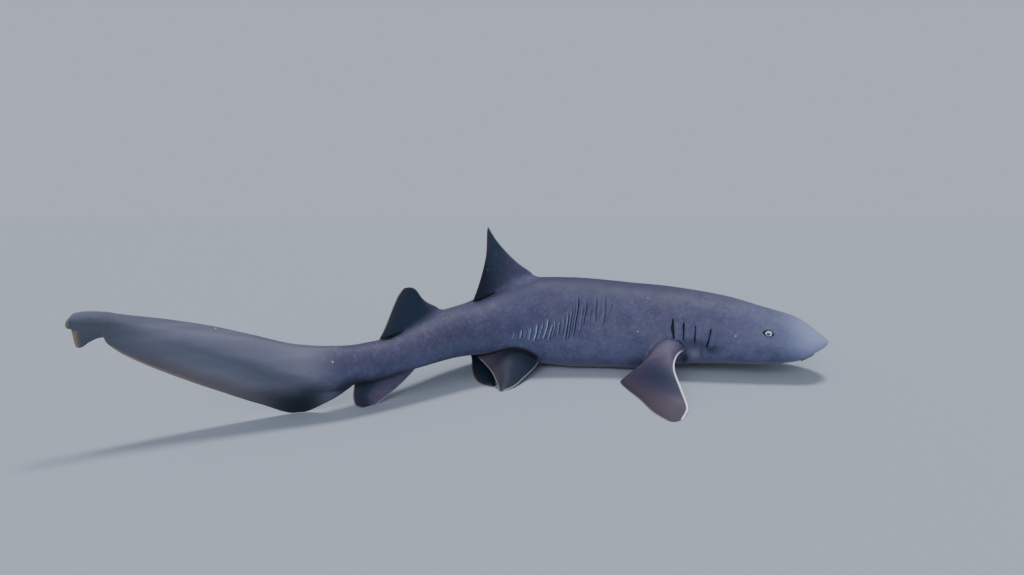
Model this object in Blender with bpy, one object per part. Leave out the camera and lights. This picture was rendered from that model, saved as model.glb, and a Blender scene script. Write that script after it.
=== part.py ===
"""Nurse shark (Ginglymostoma cirratum), a life-size still model resting on the bottom.

The animal lies with its head toward +X and its right side toward -Y, on the floor z = 0.
Every shape is placed in body coordinates: s runs along the body from the snout (0) to the
tail tip (1), lat is the distance from the midline toward the right side, and z is the height
over the floor. All three are shares of the total length, which is the one driving size.
"""

import math

import bmesh
import bpy
from mathutils import Vector

LENGTH = 2.2        # total length of the animal, metres
GAP = 0.0003        # clearance between neighbouring solids, metres
EDGE = 0.0012       # thickness of a fin at its edge, metres

# Course of the spine seen from above: heading in degrees at each share of the length.
# Zero points the head along +X, positive headings turn it toward +Y.
COURSE = ((0.0, -12), (0.12, -15), (0.24, -11), (0.36, 2), (0.48, 34), (0.6, 50),
          (0.7, 42), (0.8, 23), (0.9, 22), (1.0, 27))
ANCHOR = 0.3        # share of the length that the course is measured from
SPINE_STEPS = 400

# Body sections: share of the length, half width, underside, back.
BODY = (
    (0.00, 0.046, 0.0400, 0.0600),   # snout, rounded off below
    (0.02, 0.050, 0.0345, 0.0712),   # nostrils
    (0.05, 0.056, 0.0212, 0.0840),   # mouth
    (0.09, 0.062, 0.0140, 0.0950),   # eyes
    (0.13, 0.068, 0.0125, 0.1060),   # cheeks
    (0.18, 0.073, 0.0105, 0.1150),   # gills
    (0.23, 0.076, 0.0040, 0.1210),   # shoulders
    (0.28, 0.077, -0.003, 0.1250),   # chest, on the floor
    (0.37, 0.074, -0.003, 0.1325),   # belly, on the floor
    (0.43, 0.066, 0.0040, 0.1345),   # front of the first dorsal fin
    (0.50, 0.053, 0.0220, 0.1180),   # over the pelvic fins
    (0.55, 0.044, 0.0340, 0.1060),   # vent
    (0.61, 0.034, 0.0390, 0.1010),   # front of the second dorsal fin
    (0.66, 0.028, 0.0375, 0.0880),   # over the anal fin
    (0.70, 0.024, 0.0350, 0.0795),   # tail stalk
    (0.735, 0.021, 0.0320, 0.0785),  # root of the tail fin
)
NOSE_ROUND = 0.045  # length over which the snout is rounded off
NOSE_TAPER = 1.25    # how much more pointed the snout is from the side than from above
NOSE_HEIGHT = 0.0495
WIDEST = 0.42       # height of the widest level in a section, as a share of its depth
BACK_POWER = 2.1    # superellipse exponents of the upper and the lower half
BELLY_POWER = 3.1

HEAD_END = 0.23
TRUNK_END = 0.575
TAIL_END = 0.735
RING_POINTS = 28
HALF_CUT = GAP / 2 / LENGTH
BODY_PARTS = (      # name, first and last share of the length, sections
    ("head", 0.0, HEAD_END - HALF_CUT, 17),
    ("trunk", HEAD_END + HALF_CUT, TRUNK_END - HALF_CUT, 22),
    ("tail", TRUNK_END + HALF_CUT, TAIL_END - HALF_CUT, 10),
)

# Tail fin: share of the length, height of its upper and lower edge, height of the muscle
# core's middle, and the core's half height and half width. The notch and the small end lobe
# are the close stations near the tip.
TAIL_FIN = (
    (0.735, 0.0785, 0.0320, 0.0553, 0.0233, 0.0210),
    (0.765, 0.0825, 0.0130, 0.0600, 0.0210, 0.0165),
    (0.800, 0.0890, -0.001, 0.0700, 0.0180, 0.0125),
    (0.840, 0.1025, 0.0160, 0.0860, 0.0150, 0.0092),
    (0.880, 0.1160, 0.0375, 0.1010, 0.0120, 0.0065),
    (0.920, 0.1262, 0.0610, 0.1130, 0.0095, 0.0046),
    (0.960, 0.1345, 0.0895, 0.1235, 0.0070, 0.0030),
    (0.9690, 0.1370, 0.0988, 0.1260, 0.0060, 0.0025),
    (0.9740, 0.1376, 0.1062, 0.1262, 0.0057, 0.0024),
    (0.9752, 0.1378, 0.1108, 0.1264, 0.0055, 0.0023),
    (0.9790, 0.1383, 0.1104, 0.1268, 0.0050, 0.0021),
    (0.9865, 0.1387, 0.1070, 0.1275, 0.0043, 0.0019),
    (0.995, 0.1378, 0.1020, 0.1275, 0.0035, 0.0016),
    (0.9982, 0.1352, 0.1040, 0.1265, 0.0030, 0.0014),
    (0.999, 0.1342, 0.1215, 0.1262, 0.0027, 0.0012),
    (1.002, 0.1305, 0.1225, 0.1262, 0.0018, 0.0011),
    (1.003, 0.1285, 0.1240, 0.1262, 0.0012, 0.0010),
)
# Sideways slope of the tail fin: its lower edge is swung away to the left.
CORE_DROP = 1.4      # how much farther the core thins out downward than upward
TAIL_LEAN = ((0.735, 0.0), (0.8, 0.28), (0.9, 0.25), (1.0, 0.12))
TAIL_NOTCH = 0.965  # where the sections crowd together to draw the notch and the end lobe
TAIL_ROWS = 22
TAIL_POINTS = 28

FLAT = EDGE / 6 / LENGTH   # height of a fin's middle surface where its edge lies on the floor

# Fin outlines: leading and trailing edge from root to tip, each point a share of the length
# along the body, sideways and up.
FIRST_DORSAL = dict(
    leading=((0.400, 0, 0.120), (0.430, 0, 0.1375), (0.465, 0, 0.1596), (0.499, 0, 0.1907),
             (0.5165, 0, 0.2136)),
    trailing=((0.547, 0, 0.1085), (0.5325, 0, 0.136), (0.5215, 0, 0.171), (0.5195, 0, 0.205),
              (0.5175, 0, 0.2134)),
    insertion=0.505, sink=0.014, thickness=0.010)
SECOND_DORSAL = dict(
    leading=((0.580, 0, 0.0935), (0.611, 0, 0.1085), (0.6345, 0, 0.1205), (0.648, 0, 0.1362),
             (0.6575, 0, 0.1405)),
    trailing=((0.703, 0, 0.0815), (0.6935, 0, 0.0970), (0.684, 0, 0.1160), (0.6755, 0, 0.1310),
              (0.667, 0, 0.1400)),
    insertion=0.672, sink=0.012, thickness=0.008)
ANAL = dict(
    leading=((0.634, 0, 0.044), (0.657, 0, 0.0288), (0.682, 0, 0.0135), (0.710, 0, -0.0004)),
    trailing=((0.7365, 0, 0.0295), (0.739, 0, 0.018), (0.737, 0, 0.005), (0.729, 0, -0.0004)),
    insertion=0.711, sink=-0.012, thickness=0.007)
PECTORAL = dict(
    leading=((0.199, 0.055, 0.0375), (0.2185, 0.116, 0.0425), (0.2265, 0.155, 0.035),
             (0.2190, 0.186, 0.019), (0.2125, 0.212, 0.005), (0.223, 0.240, FLAT)),
    trailing=((0.262, 0.055, 0.018), (0.269, 0.083, 0.0085), (0.283, 0.096, 0.0040),
              (0.3065, 0.111, 0.0010), (0.297, 0.147, FLAT), (0.281, 0.180, FLAT),
              (0.264, 0.222, FLAT), (0.240, 0.250, FLAT)),
    arch=0.004, root_arch=0.0205, thickness=0.024)
PECTORAL_LEFT = dict(
    PECTORAL,
    leading=((0.199, 0.055, 0.0375), (0.212, 0.112, 0.0425), (0.223, 0.155, 0.035),
             (0.230, 0.188, 0.019), (0.236, 0.213, 0.005), (0.248, 0.236, FLAT)),
    trailing=((0.262, 0.055, 0.018), (0.269, 0.083, 0.0085), (0.281, 0.096, 0.0050),
              (0.300, 0.108, 0.0020), (0.302, 0.144, FLAT), (0.295, 0.180, FLAT),
              (0.283, 0.216, FLAT), (0.264, 0.238, FLAT)))
PELVIC = dict(
    leading=((0.438, 0.040, 0.0190), (0.475, 0.0613, 0.0118), (0.511, 0.0745, 0.0062),
             (0.546, 0.0831, 0.0018), (0.570, 0.0825, FLAT)),
    trailing=((0.560, 0.014, 0.038), (0.5555, 0.033, 0.0245), (0.559, 0.050, 0.0164),
              (0.567, 0.067, 0.006), (0.5765, 0.079, FLAT)),
    arch=0.004, root_arch=0.028, thickness=0.010)
# The left pelvic fin hangs down more steeply, on the outer side of the body's bend.
PELVIC_LEFT = dict(
    PELVIC,
    leading=((0.446, 0.038, 0.020), (0.470, 0.024, 0.0105), (0.500, -0.004, 0.004),
             (0.530, -0.030, FLAT), (0.555, -0.056, FLAT)),
    trailing=((0.548, 0.006, 0.036), (0.5500, 0.000, 0.0225), (0.5520, -0.002, 0.0060),
              (0.5650, -0.024, FLAT), (0.5720, -0.046, FLAT), (0.5700, -0.061, FLAT)),
    root_arch=0.0)

EYE_S, EYE_Z = 0.0905, 0.066
EYE_RADIUS = 0.0068
EYE_DEPTH = 0.0036   # how far the eye's centre lies under the skin

# Barbel: course of its middle line from the nostril, back under the snout.
BARBEL = ((0.021, 0.021, 0.0385), (0.025, 0.0235, 0.0320), (0.0320, 0.0255, 0.0272),
          (0.0400, 0.0265, 0.0222))
BARBEL_RADII = (0.0024, 0.0008)

COLOURS = {
    "skin": (0.092, 0.090, 0.135),
    "eye": (0.40, 0.46, 0.47),
    "barbel": (0.12, 0.11, 0.15),
}


# ---------------------------------------------------------------- curves

def hermite(table, column, at):
    """Value of one column of a table of stations, by a smooth curve with no overshoot."""
    if at <= table[0][0]:
        return table[0][column]
    if at >= table[-1][0]:
        return table[-1][column]
    i = next(k for k in range(len(table) - 1) if at <= table[k + 1][0])

    def slope(k):
        if k <= 0 or k >= len(table) - 1:
            k0, k1 = (0, 1) if k <= 0 else (len(table) - 2, len(table) - 1)
            return (table[k1][column] - table[k0][column]) / (table[k1][0] - table[k0][0])
        left = (table[k][column] - table[k - 1][column]) / (table[k][0] - table[k - 1][0])
        right = (table[k + 1][column] - table[k][column]) / (table[k + 1][0] - table[k][0])
        if left * right <= 0:
            return 0.0
        return 2 * left * right / (left + right)

    width = table[i + 1][0] - table[i][0]
    t = (at - table[i][0]) / width
    a, b = table[i][column], table[i + 1][column]
    return (a * (1 + 2 * t) * (1 - t) ** 2 + slope(i) * width * t * (1 - t) ** 2
            + b * t * t * (3 - 2 * t) + slope(i + 1) * width * t * t * (t - 1))


def along(points, t):
    """Point at the share t of a smooth curve through a few points (Catmull-Rom)."""
    spans = len(points) - 1
    i = min(int(t * spans), spans - 1)
    u = t * spans - i
    p = [Vector(points[min(max(k, 0), spans)]) for k in range(i - 1, i + 3)]
    return 0.5 * (2 * p[1] + (p[2] - p[0]) * u + (2 * p[0] - 5 * p[1] + 4 * p[2] - p[3]) * u ** 2
                  + (3 * p[1] - p[0] - 3 * p[2] + p[3]) * u ** 3)


def make_spine():
    """Points of the spine's course on the floor plan, and the heading at each."""
    step = 1.0 / SPINE_STEPS
    headings = [math.radians(hermite(COURSE, 1, k * step)) for k in range(SPINE_STEPS + 1)]
    x, y = 0.0, 0.0
    points = [(x, y)]
    for k in range(SPINE_STEPS):
        middle = (headings[k] + headings[k + 1]) / 2
        x -= math.cos(middle) * step
        y -= math.sin(middle) * step
        points.append((x, y))
    ax, ay = points[round(ANCHOR * SPINE_STEPS)]
    return [(px - ax, py - ay) for px, py in points], headings


SPINE, HEADINGS = make_spine()


def place(s, lat, z):
    """World point, in metres, of a point given in body coordinates."""
    k = min(max(s, 0.0), 1.0) * SPINE_STEPS
    i = min(int(k), SPINE_STEPS - 1)
    f = k - i
    heading = HEADINGS[i] * (1 - f) + HEADINGS[i + 1] * f
    x = SPINE[i][0] * (1 - f) + SPINE[i + 1][0] * f
    y = SPINE[i][1] * (1 - f) + SPINE[i + 1][1] * f
    beyond = s - min(max(s, 0.0), 1.0)
    x += lat * math.sin(heading) - beyond * math.cos(heading)
    y -= lat * math.cos(heading) + beyond * math.sin(heading)
    return Vector((x, y, z)) * LENGTH


# ---------------------------------------------------------------- body sections

def body_section(s):
    """Half width, underside, back and widest level of the body at s."""
    width, under, back = (hermite(BODY, column, s) for column in (1, 2, 3))
    if s < NOSE_ROUND:
        rounding = math.sqrt(1 - (1 - s / NOSE_ROUND) ** 2)
        width *= rounding
        rounding **= NOSE_TAPER
        under = NOSE_HEIGHT + (under - NOSE_HEIGHT) * rounding
        back = NOSE_HEIGHT + (back - NOSE_HEIGHT) * rounding
    return width, under, back, under + (back - under) * WIDEST


def half_width_at(s, z):
    """Distance from the midline to the skin at the height z."""
    width, under, back, level = body_section(s)
    power, reach = (BACK_POWER, back - level) if z > level else (BELLY_POWER, level - under)
    share = min(abs(z - level) / reach, 1.0)
    return width * (1 - share ** power) ** (1 / power)


def body_ring(s, swell=0.0):
    """Section of the body at s as a closed ring of points, swollen outward by some metres."""
    width, under, back, level = body_section(s)
    grow = swell / LENGTH
    ring = []
    for k in range(RING_POINTS):
        angle = 2 * math.pi * k / RING_POINTS
        c, q = math.cos(angle), math.sin(angle)
        power = BACK_POWER if q >= 0 else BELLY_POWER
        reach = (back - level if q >= 0 else level - under) + grow
        lat = (width + grow) * math.copysign(abs(c) ** (2 / power), c)
        z = level + reach * math.copysign(abs(q) ** (2 / power), q)
        ring.append(place(s, lat, max(z, -grow)))
    return ring


def tail_ring(s, swell=0.0):
    """Section of the tail fin: a muscle core with a thin web above and below it."""
    upper, lower, middle, core_height, core_width = (hermite(TAIL_FIN, c, s) for c in range(1, 6))
    lean = hermite(TAIL_LEAN, 1, s)
    soft = min((s - TAIL_END) / 0.06, 1.0)
    edge = EDGE / LENGTH / 2
    half = TAIL_POINTS // 2
    right, left = [], []
    for k in range(half + 1):
        q = -math.cos(math.pi * k / half)
        z = (upper + lower) / 2 + (upper - lower) / 2 * q
        reach = core_height * (1 if z > middle else 1 + CORE_DROP * soft)
        share = min(abs(z - middle) / reach, 1.0)
        core = core_width * (1 - share ** 2) ** (1 / BACK_POWER + soft * 0.8)
        web = edge + 0.0016 * (1 - q * q) * soft
        thick = max(core, web) + swell / LENGTH
        side = lean * (z - middle)
        z = max(z, 0.0)
        right.append(place(s, side + thick, z))
        left.append(place(s, side - thick, z))
    return right + left[::-1]


def stations(start, end, rows):
    """Evenly spaced shares of the length, closer together over the rounded snout."""
    if start > 0:
        return [start + (end - start) * k / rows for k in range(rows + 1)]
    nose = [NOSE_ROUND * (1 - math.cos(math.pi / 2 * (k + 0.6) / 5.6)) for k in range(5)]
    return nose + stations(NOSE_ROUND, end, rows - 5)


# ---------------------------------------------------------------- objects

def collection(name):
    made = bpy.data.collections.new(name)
    bpy.context.scene.collection.children.link(made)
    return made


def material(name, colour, roughness):
    made = bpy.data.materials.new(name)
    made.use_nodes = True
    shader = made.node_tree.nodes["Principled BSDF"]
    shader.inputs["Base Color"].default_value = (*colour, 1)
    shader.inputs["Roughness"].default_value = roughness
    shader.inputs["Metallic"].default_value = 0.0
    return made


def add_object(name, bm, home, colour, roughness=0.6):
    bmesh.ops.recalc_face_normals(bm, faces=bm.faces)
    mesh = bpy.data.meshes.new(name)
    bm.to_mesh(mesh)
    bm.free()
    mesh.shade_smooth()
    mesh.set_sharp_from_angle(angle=math.radians(50))
    mesh.materials.append(material(name + "_finish", COLOURS[colour], roughness))
    made = bpy.data.objects.new(name, mesh)
    home.objects.link(made)
    return made


def loft(rings):
    """Closed solid through rings with the same number of points."""
    bm = bmesh.new()
    rows = [[bm.verts.new(point) for point in ring] for ring in rings]
    count = len(rows[0])
    for a, b in zip(rows, rows[1:]):
        for k in range(count):
            bm.faces.new((a[k], a[(k + 1) % count], b[(k + 1) % count], b[k]))
    for end in (rows[0], rows[-1]):
        bm.faces.new(end)
    bmesh.ops.triangulate(bm, faces=[f for f in bm.faces if len(f.verts) > 4])
    return bm


def foil(u):
    """Thickness of a fin along its chord: blunt in front, thin behind."""
    return 2.6 * math.sqrt(max(u, 0.0)) * (1 - u) * (1 - 0.35 * u)


def surface_normal(point):
    """Unit normal of a surface point(u, v), from small steps along it."""
    def normal(u, v):
        d = 0.004
        u0, u1 = max(u - d, 0), min(u + d, 1)
        v0, v1 = max(v - d, 0), min(v + d, 1)
        return (point(u1, v) - point(u0, v)).cross(point(u, v1) - point(u, v0)).normalized()
    return normal


def sheet(point, normal, thickness, columns, rows):
    """Closed thin solid on both sides of a surface point(u, v), u along the chord."""
    bm = bmesh.new()
    sides = []
    for sign in (1, -1):
        grid = []
        for j in range(rows + 1):
            v = 1 - (1 - j / rows) ** 1.3
            line = []
            for i in range(columns + 1):
                u = (i / columns) ** 1.25
                offset = normal(u, v) * (sign * thickness(u, v) / 2)
                at = point(u, v) + offset
                at.z = max(at.z, 0.0 if offset.z <= 0 else EDGE)
                line.append(bm.verts.new(at))
            grid.append(line)
        sides.append(grid)
    front, back = sides
    for grid in sides:
        for a, b in zip(grid, grid[1:]):
            for i in range(columns):
                bm.faces.new((a[i], a[i + 1], b[i + 1], b[i]))
    for j in range(rows):
        for i in (0, columns):
            bm.faces.new((front[j][i], front[j + 1][i], back[j + 1][i], back[j][i]))
    for i in range(columns):
        for j in (0, rows):
            bm.faces.new((front[j][i], front[j][i + 1], back[j][i + 1], back[j][i]))
    return bm


def upright_fin(fin):
    """Surface of a fin on the midline: dorsal and anal fins."""
    first, last = fin["leading"][0][0], fin["trailing"][0][0]

    def root(u):
        s = first + (last - first) * u
        skin = body_section(s)[2 if fin["sink"] > 0 else 1]
        free = min(max((s - fin["insertion"]) / 0.006, 0.0), 1.0)
        clear = math.copysign(0.0010, fin["sink"])
        return s, skin - fin["sink"] * (1 - free) + clear * free

    def point(u, v):
        front, rear = along(fin["leading"], v), along(fin["trailing"], v)
        at = front.lerp(rear, u)
        s0, z0 = root(u)
        weight = (1 - v) ** 6
        return place(at.x * (1 - weight) + s0 * weight, at.y, at.z * (1 - weight) + z0 * weight)

    def normal(u, v):
        s = along(fin["leading"], v).lerp(along(fin["trailing"], v), u).x
        return (place(s, 0.01, 0) - place(s, 0, 0)).normalized()

    return point, normal


def paired_fin(fin, side):
    """Surface of a pectoral or pelvic fin, arched between its two edges."""
    def point(u, v):
        at = along(fin["leading"], v).lerp(along(fin["trailing"], v), u)
        arch = fin["arch"] * 4 * v * (1 - v) + fin["root_arch"] * (1 - v) ** 2
        return place(at.x, side * at.y, at.z + arch * math.sin(math.pi * u))

    return point, surface_normal(point)


def fin_thickness(fin, fade=1.6):
    def thickness(u, v):
        return EDGE + (fin["thickness"] * LENGTH - EDGE) * foil(u) * (1 - v) ** fade
    return thickness


def ball(at, radius):
    bm = bmesh.new()
    bmesh.ops.create_uvsphere(bm, u_segments=16, v_segments=10, radius=radius)
    bmesh.ops.translate(bm, verts=bm.verts, vec=at)
    return bm


def cut(made, cutter):
    step = made.modifiers.new("clear_" + cutter.name, "BOOLEAN")
    step.operation = "DIFFERENCE"
    step.solver = "EXACT"
    step.object = cutter


# ---------------------------------------------------------------- the animal

def make_body(home):
    """Head, trunk, tail stalk and tail fin, parted by thin cuts."""
    made = {}
    for name, start, end, rows in BODY_PARTS:
        rings = [body_ring(s) for s in stations(start, end, rows)]
        made[name] = add_object(name, loft(rings), home, "skin")
    notch = [station[0] for station in TAIL_FIN if station[0] > TAIL_NOTCH]
    rows = stations(TAIL_END + HALF_CUT, TAIL_NOTCH, TAIL_ROWS) + notch
    rings = [tail_ring(s) for s in rows]
    made["caudal_fin"] = add_object("caudal_fin", loft(rings), home, "skin")
    return made


def make_clearance(home):
    """The whole body, swollen by the gap: what the fins are cut with."""
    rings = [body_ring(s, swell=GAP) for _, start, end, rows in BODY_PARTS
             for s in stations(start, end, rows)]
    return add_object("body_clearance", loft(rings), home, "skin")


def make_fins(home, clearance):
    for name, fin in (("first_dorsal_fin", FIRST_DORSAL), ("second_dorsal_fin", SECOND_DORSAL),
                      ("anal_fin", ANAL)):
        bm = sheet(*upright_fin(fin), fin_thickness(fin), 10, 9)
        cut(add_object(name, bm, home, "skin"), clearance)
    for side, sign, pectoral, pelvic in (("right", 1, PECTORAL, PELVIC),
                                         ("left", -1, PECTORAL_LEFT, PELVIC_LEFT)):
        bm = sheet(*paired_fin(pectoral, sign), fin_thickness(pectoral, 1.9), 10, 12)
        cut(add_object("pectoral_fin_" + side, bm, home, "skin"), clearance)
        bm = sheet(*paired_fin(pelvic, sign), fin_thickness(pelvic), 9, 8)
        cut(add_object("pelvic_fin_" + side, bm, home, "skin"), clearance)


def make_eyes(home, cutters, head):
    for side, sign in (("right", 1), ("left", -1)):
        lat = half_width_at(EYE_S, EYE_Z) - EYE_DEPTH
        at = place(EYE_S, sign * lat, EYE_Z)
        add_object("eye_" + side, ball(at, EYE_RADIUS * LENGTH), home, "eye", 0.1)
        socket = add_object("socket_" + side, ball(at, EYE_RADIUS * LENGTH + GAP), cutters, "skin")
        cut(head, socket)


def make_barbels(home, clearance):
    for side, sign in (("right", 1), ("left", -1)):
        rings = []
        for k in range(9):
            t = k / 8
            middle = along(BARBEL, t)
            ahead = along(BARBEL, min(t + 0.02, 1)) - along(BARBEL, max(t - 0.02, 0))
            radius = BARBEL_RADII[0] * (1 - t) + BARBEL_RADII[1] * t
            across = ahead.cross(Vector((0, 1, 0))).normalized()
            over = ahead.cross(across).normalized()
            ring = []
            for j in range(8):
                angle = 2 * math.pi * j / 8
                at = middle + radius * (math.cos(angle) * across + math.sin(angle) * over)
                ring.append(place(at.x, sign * at.y, at.z))
            rings.append(ring)
        cut(add_object("barbel_" + side, loft(rings), home, "barbel"), clearance)


def centre(objects):
    """Shifts everything so that the origin is under the middle of the model's box."""
    parts = [v.co for made in objects if not made.hide_render for v in made.data.vertices]
    middle = Vector([(min(p[i] for p in parts) + max(p[i] for p in parts)) / 2 for i in (0, 1)]
                    + [0.0])
    for made in objects:
        for vertex in made.data.vertices:
            vertex.co -= middle
    return middle


def main():
    for old in list(bpy.data.objects):
        bpy.data.objects.remove(old)
    home = collection("nurse_shark")
    cutters = collection("cutters")
    body = make_body(home)
    clearance = make_clearance(cutters)
    make_fins(home, clearance)
    make_eyes(home, cutters, body["head"])
    make_barbels(home, clearance)
    for cutter in cutters.objects:
        cutter.hide_render = True
        cutter.display_type = "WIRE"
    return centre(list(home.objects) + list(cutters.objects))


main()
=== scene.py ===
# %% [markdown]
# # A nurse shark resting on the bottom
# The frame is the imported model: fifteen plain solids at their real size. It gives the place and the
# size of everything here. This script builds one seamless skin over the solids of flesh, with gill
# slits, eyelids, nostrils, mouth and folds modelled in it, then the eyes and the two barbels.

# %% Load the frame
import math

import bmesh
import bpy
import numpy as np
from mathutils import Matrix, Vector, noise
from mathutils.kdtree import KDTree


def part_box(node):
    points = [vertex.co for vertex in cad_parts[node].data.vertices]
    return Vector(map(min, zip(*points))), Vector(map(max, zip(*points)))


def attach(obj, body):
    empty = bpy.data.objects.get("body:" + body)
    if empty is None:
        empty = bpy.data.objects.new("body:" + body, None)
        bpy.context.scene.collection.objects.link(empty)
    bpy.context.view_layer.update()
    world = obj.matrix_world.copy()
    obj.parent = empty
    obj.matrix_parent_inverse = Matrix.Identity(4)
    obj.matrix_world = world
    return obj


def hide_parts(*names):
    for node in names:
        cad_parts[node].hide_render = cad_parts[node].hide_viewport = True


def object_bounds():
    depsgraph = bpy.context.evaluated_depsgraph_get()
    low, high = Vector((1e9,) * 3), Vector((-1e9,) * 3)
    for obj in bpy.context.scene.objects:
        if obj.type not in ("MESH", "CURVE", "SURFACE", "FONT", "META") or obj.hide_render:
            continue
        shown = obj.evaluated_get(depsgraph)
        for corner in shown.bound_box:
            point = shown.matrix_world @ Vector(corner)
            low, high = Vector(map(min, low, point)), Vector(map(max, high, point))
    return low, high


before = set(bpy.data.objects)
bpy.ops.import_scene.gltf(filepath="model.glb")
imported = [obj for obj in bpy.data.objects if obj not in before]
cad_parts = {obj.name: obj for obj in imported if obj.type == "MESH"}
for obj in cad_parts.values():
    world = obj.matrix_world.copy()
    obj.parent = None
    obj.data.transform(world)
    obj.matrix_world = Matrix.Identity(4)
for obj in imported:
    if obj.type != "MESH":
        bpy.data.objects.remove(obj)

CAD_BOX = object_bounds()
print("frame:", len(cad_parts), "nodes, size", [round(v, 3) for v in CAD_BOX[1] - CAD_BOX[0]])

# %% [markdown]
# ## Body coordinates
# A shark bends sideways like a ruler, so its shape is told along its spine: s runs from the snout
# (0) to the tail tip (1), lat is the distance from the midline toward the right side, and z is the
# height over the floor, all as shares of the total length. A straight model with a Curve modifier
# would bend too, but then a detail could not be put at a known place of the bent body. So
# the course of the spine seen from above is a table of headings, and one function leads from body
# coordinates to the scene. The right eye's box in the frame ties the course to its place.

# %% Smooth tables
LENGTH = 2.2       # total length, metres
EDGE = 0.0012      # thickness of a fin at its edge, metres


def hermite(table, column, at):
    """Value of one column of a table of stations, by a smooth curve with no overshoot."""
    if at <= table[0][0]:
        return table[0][column]
    if at >= table[-1][0]:
        return table[-1][column]
    i = next(k for k in range(len(table) - 1) if at <= table[k + 1][0])

    def slope(k):
        if k <= 0 or k >= len(table) - 1:
            k0, k1 = (0, 1) if k <= 0 else (len(table) - 2, len(table) - 1)
            return (table[k1][column] - table[k0][column]) / (table[k1][0] - table[k0][0])
        left = (table[k][column] - table[k - 1][column]) / (table[k][0] - table[k - 1][0])
        right = (table[k + 1][column] - table[k][column]) / (table[k + 1][0] - table[k][0])
        if left * right <= 0:
            return 0.0
        return 2 * left * right / (left + right)

    width = table[i + 1][0] - table[i][0]
    t = (at - table[i][0]) / width
    a, b = table[i][column], table[i + 1][column]
    return (a * (1 + 2 * t) * (1 - t) ** 2 + slope(i) * width * t * (1 - t) ** 2
            + b * t * t * (3 - 2 * t) + slope(i + 1) * width * t * t * (t - 1))


def along(points, t):
    """Point at the share t of a smooth curve through a few points (Catmull-Rom)."""
    spans = len(points) - 1
    i = min(int(t * spans), spans - 1)
    u = t * spans - i
    p = [Vector(points[min(max(k, 0), spans)]) for k in range(i - 1, i + 3)]
    return 0.5 * (2 * p[1] + (p[2] - p[0]) * u + (2 * p[0] - 5 * p[1] + 4 * p[2] - p[3]) * u ** 2
                  + (3 * p[1] - p[0] - 3 * p[2] + p[3]) * u ** 3)


def ramp(x, start, end):
    """Smooth step from 0 at start to 1 at end, for numbers and arrays."""
    t = np.clip((x - start) / (end - start), 0, 1)
    return t * t * (3 - 2 * t)


# %% Body sections
BODY = (  # share of the length, half width, underside, back
    (0.00, 0.046, 0.0400, 0.0600),   # snout
    (0.02, 0.050, 0.0345, 0.0712),   # nostrils
    (0.05, 0.056, 0.0212, 0.0840),   # mouth
    (0.09, 0.062, 0.0140, 0.0950),   # eyes
    (0.13, 0.068, 0.0125, 0.1060),   # cheeks
    (0.18, 0.073, 0.0105, 0.1150),   # gills
    (0.23, 0.076, 0.0040, 0.1210),   # shoulders
    (0.28, 0.077, -0.003, 0.1250),   # chest, on the floor
    (0.37, 0.074, -0.003, 0.1325),   # belly, on the floor
    (0.43, 0.066, 0.0040, 0.1345),   # front of the first dorsal fin
    (0.50, 0.053, 0.0220, 0.1180),   # over the pelvic fins
    (0.55, 0.044, 0.0340, 0.1060),   # vent
    (0.61, 0.034, 0.0390, 0.1010),   # front of the second dorsal fin
    (0.66, 0.028, 0.0375, 0.0880),   # over the anal fin
    (0.70, 0.024, 0.0350, 0.0795),   # tail stalk
    (0.735, 0.021, 0.0320, 0.0785),  # root of the tail fin
)
NOSE_ROUND = 0.045   # length over which the snout is rounded off
NOSE_TAPER = 1.25    # how much more pointed the snout is from the side than from above
NOSE_HEIGHT = 0.0495
WIDEST = 0.42        # height of the widest level in a section, as a share of its depth
BACK_POWER = 2.1     # superellipse exponents of the upper and the lower half
BELLY_POWER = 3.1
TAIL_START = 0.735
TAIL_BLEND = 0.02    # length over which the body's section turns into the tail fin's


def body_section(s):
    """Half width, underside, back and widest level of the body at s."""
    width, under, back = (hermite(BODY, column, s) for column in (1, 2, 3))
    if s < NOSE_ROUND:
        rounding = math.sqrt(1 - (1 - s / NOSE_ROUND) ** 2)
        width *= rounding
        rounding **= NOSE_TAPER
        under = NOSE_HEIGHT + (under - NOSE_HEIGHT) * rounding
        back = NOSE_HEIGHT + (back - NOSE_HEIGHT) * rounding
    return width, under, back, under + (back - under) * WIDEST


def half_width_at(s, z):
    """Distance from the midline to the skin at the height z."""
    width, under, back, level = body_section(s)
    power, reach = (BACK_POWER, back - level) if z > level else (BELLY_POWER, level - under)
    share = min(abs(z - level) / reach, 1.0)
    return width * (1 - share ** power) ** (1 / power)


# %% Spine
COURSE = ((0.0, -12), (0.12, -15), (0.24, -11), (0.36, 2), (0.48, 34), (0.6, 50),
          (0.7, 42), (0.8, 23), (0.9, 22), (1.0, 27))   # share of the length, heading in degrees
SPINE_STEPS = 400
EYE_S, EYE_Z = 0.0905, 0.066
EYE_DEPTH = 0.0036   # how far the eye's centre lies under the skin
SEARCH_ROUNDS = 10   # rounds in which a point's foot on the spine is found
SEARCH_STEP = 0.8    # share of the remaining way that each round goes

spine_s = np.linspace(0, 1, SPINE_STEPS + 1)
headings = np.radians([hermite(COURSE, 1, s) for s in spine_s])
middles = (headings[1:] + headings[:-1]) / 2
spine_x = np.concatenate([[0], -np.cumsum(np.cos(middles))]) / SPINE_STEPS
spine_y = np.concatenate([[0], -np.cumsum(np.sin(middles))]) / SPINE_STEPS


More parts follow.
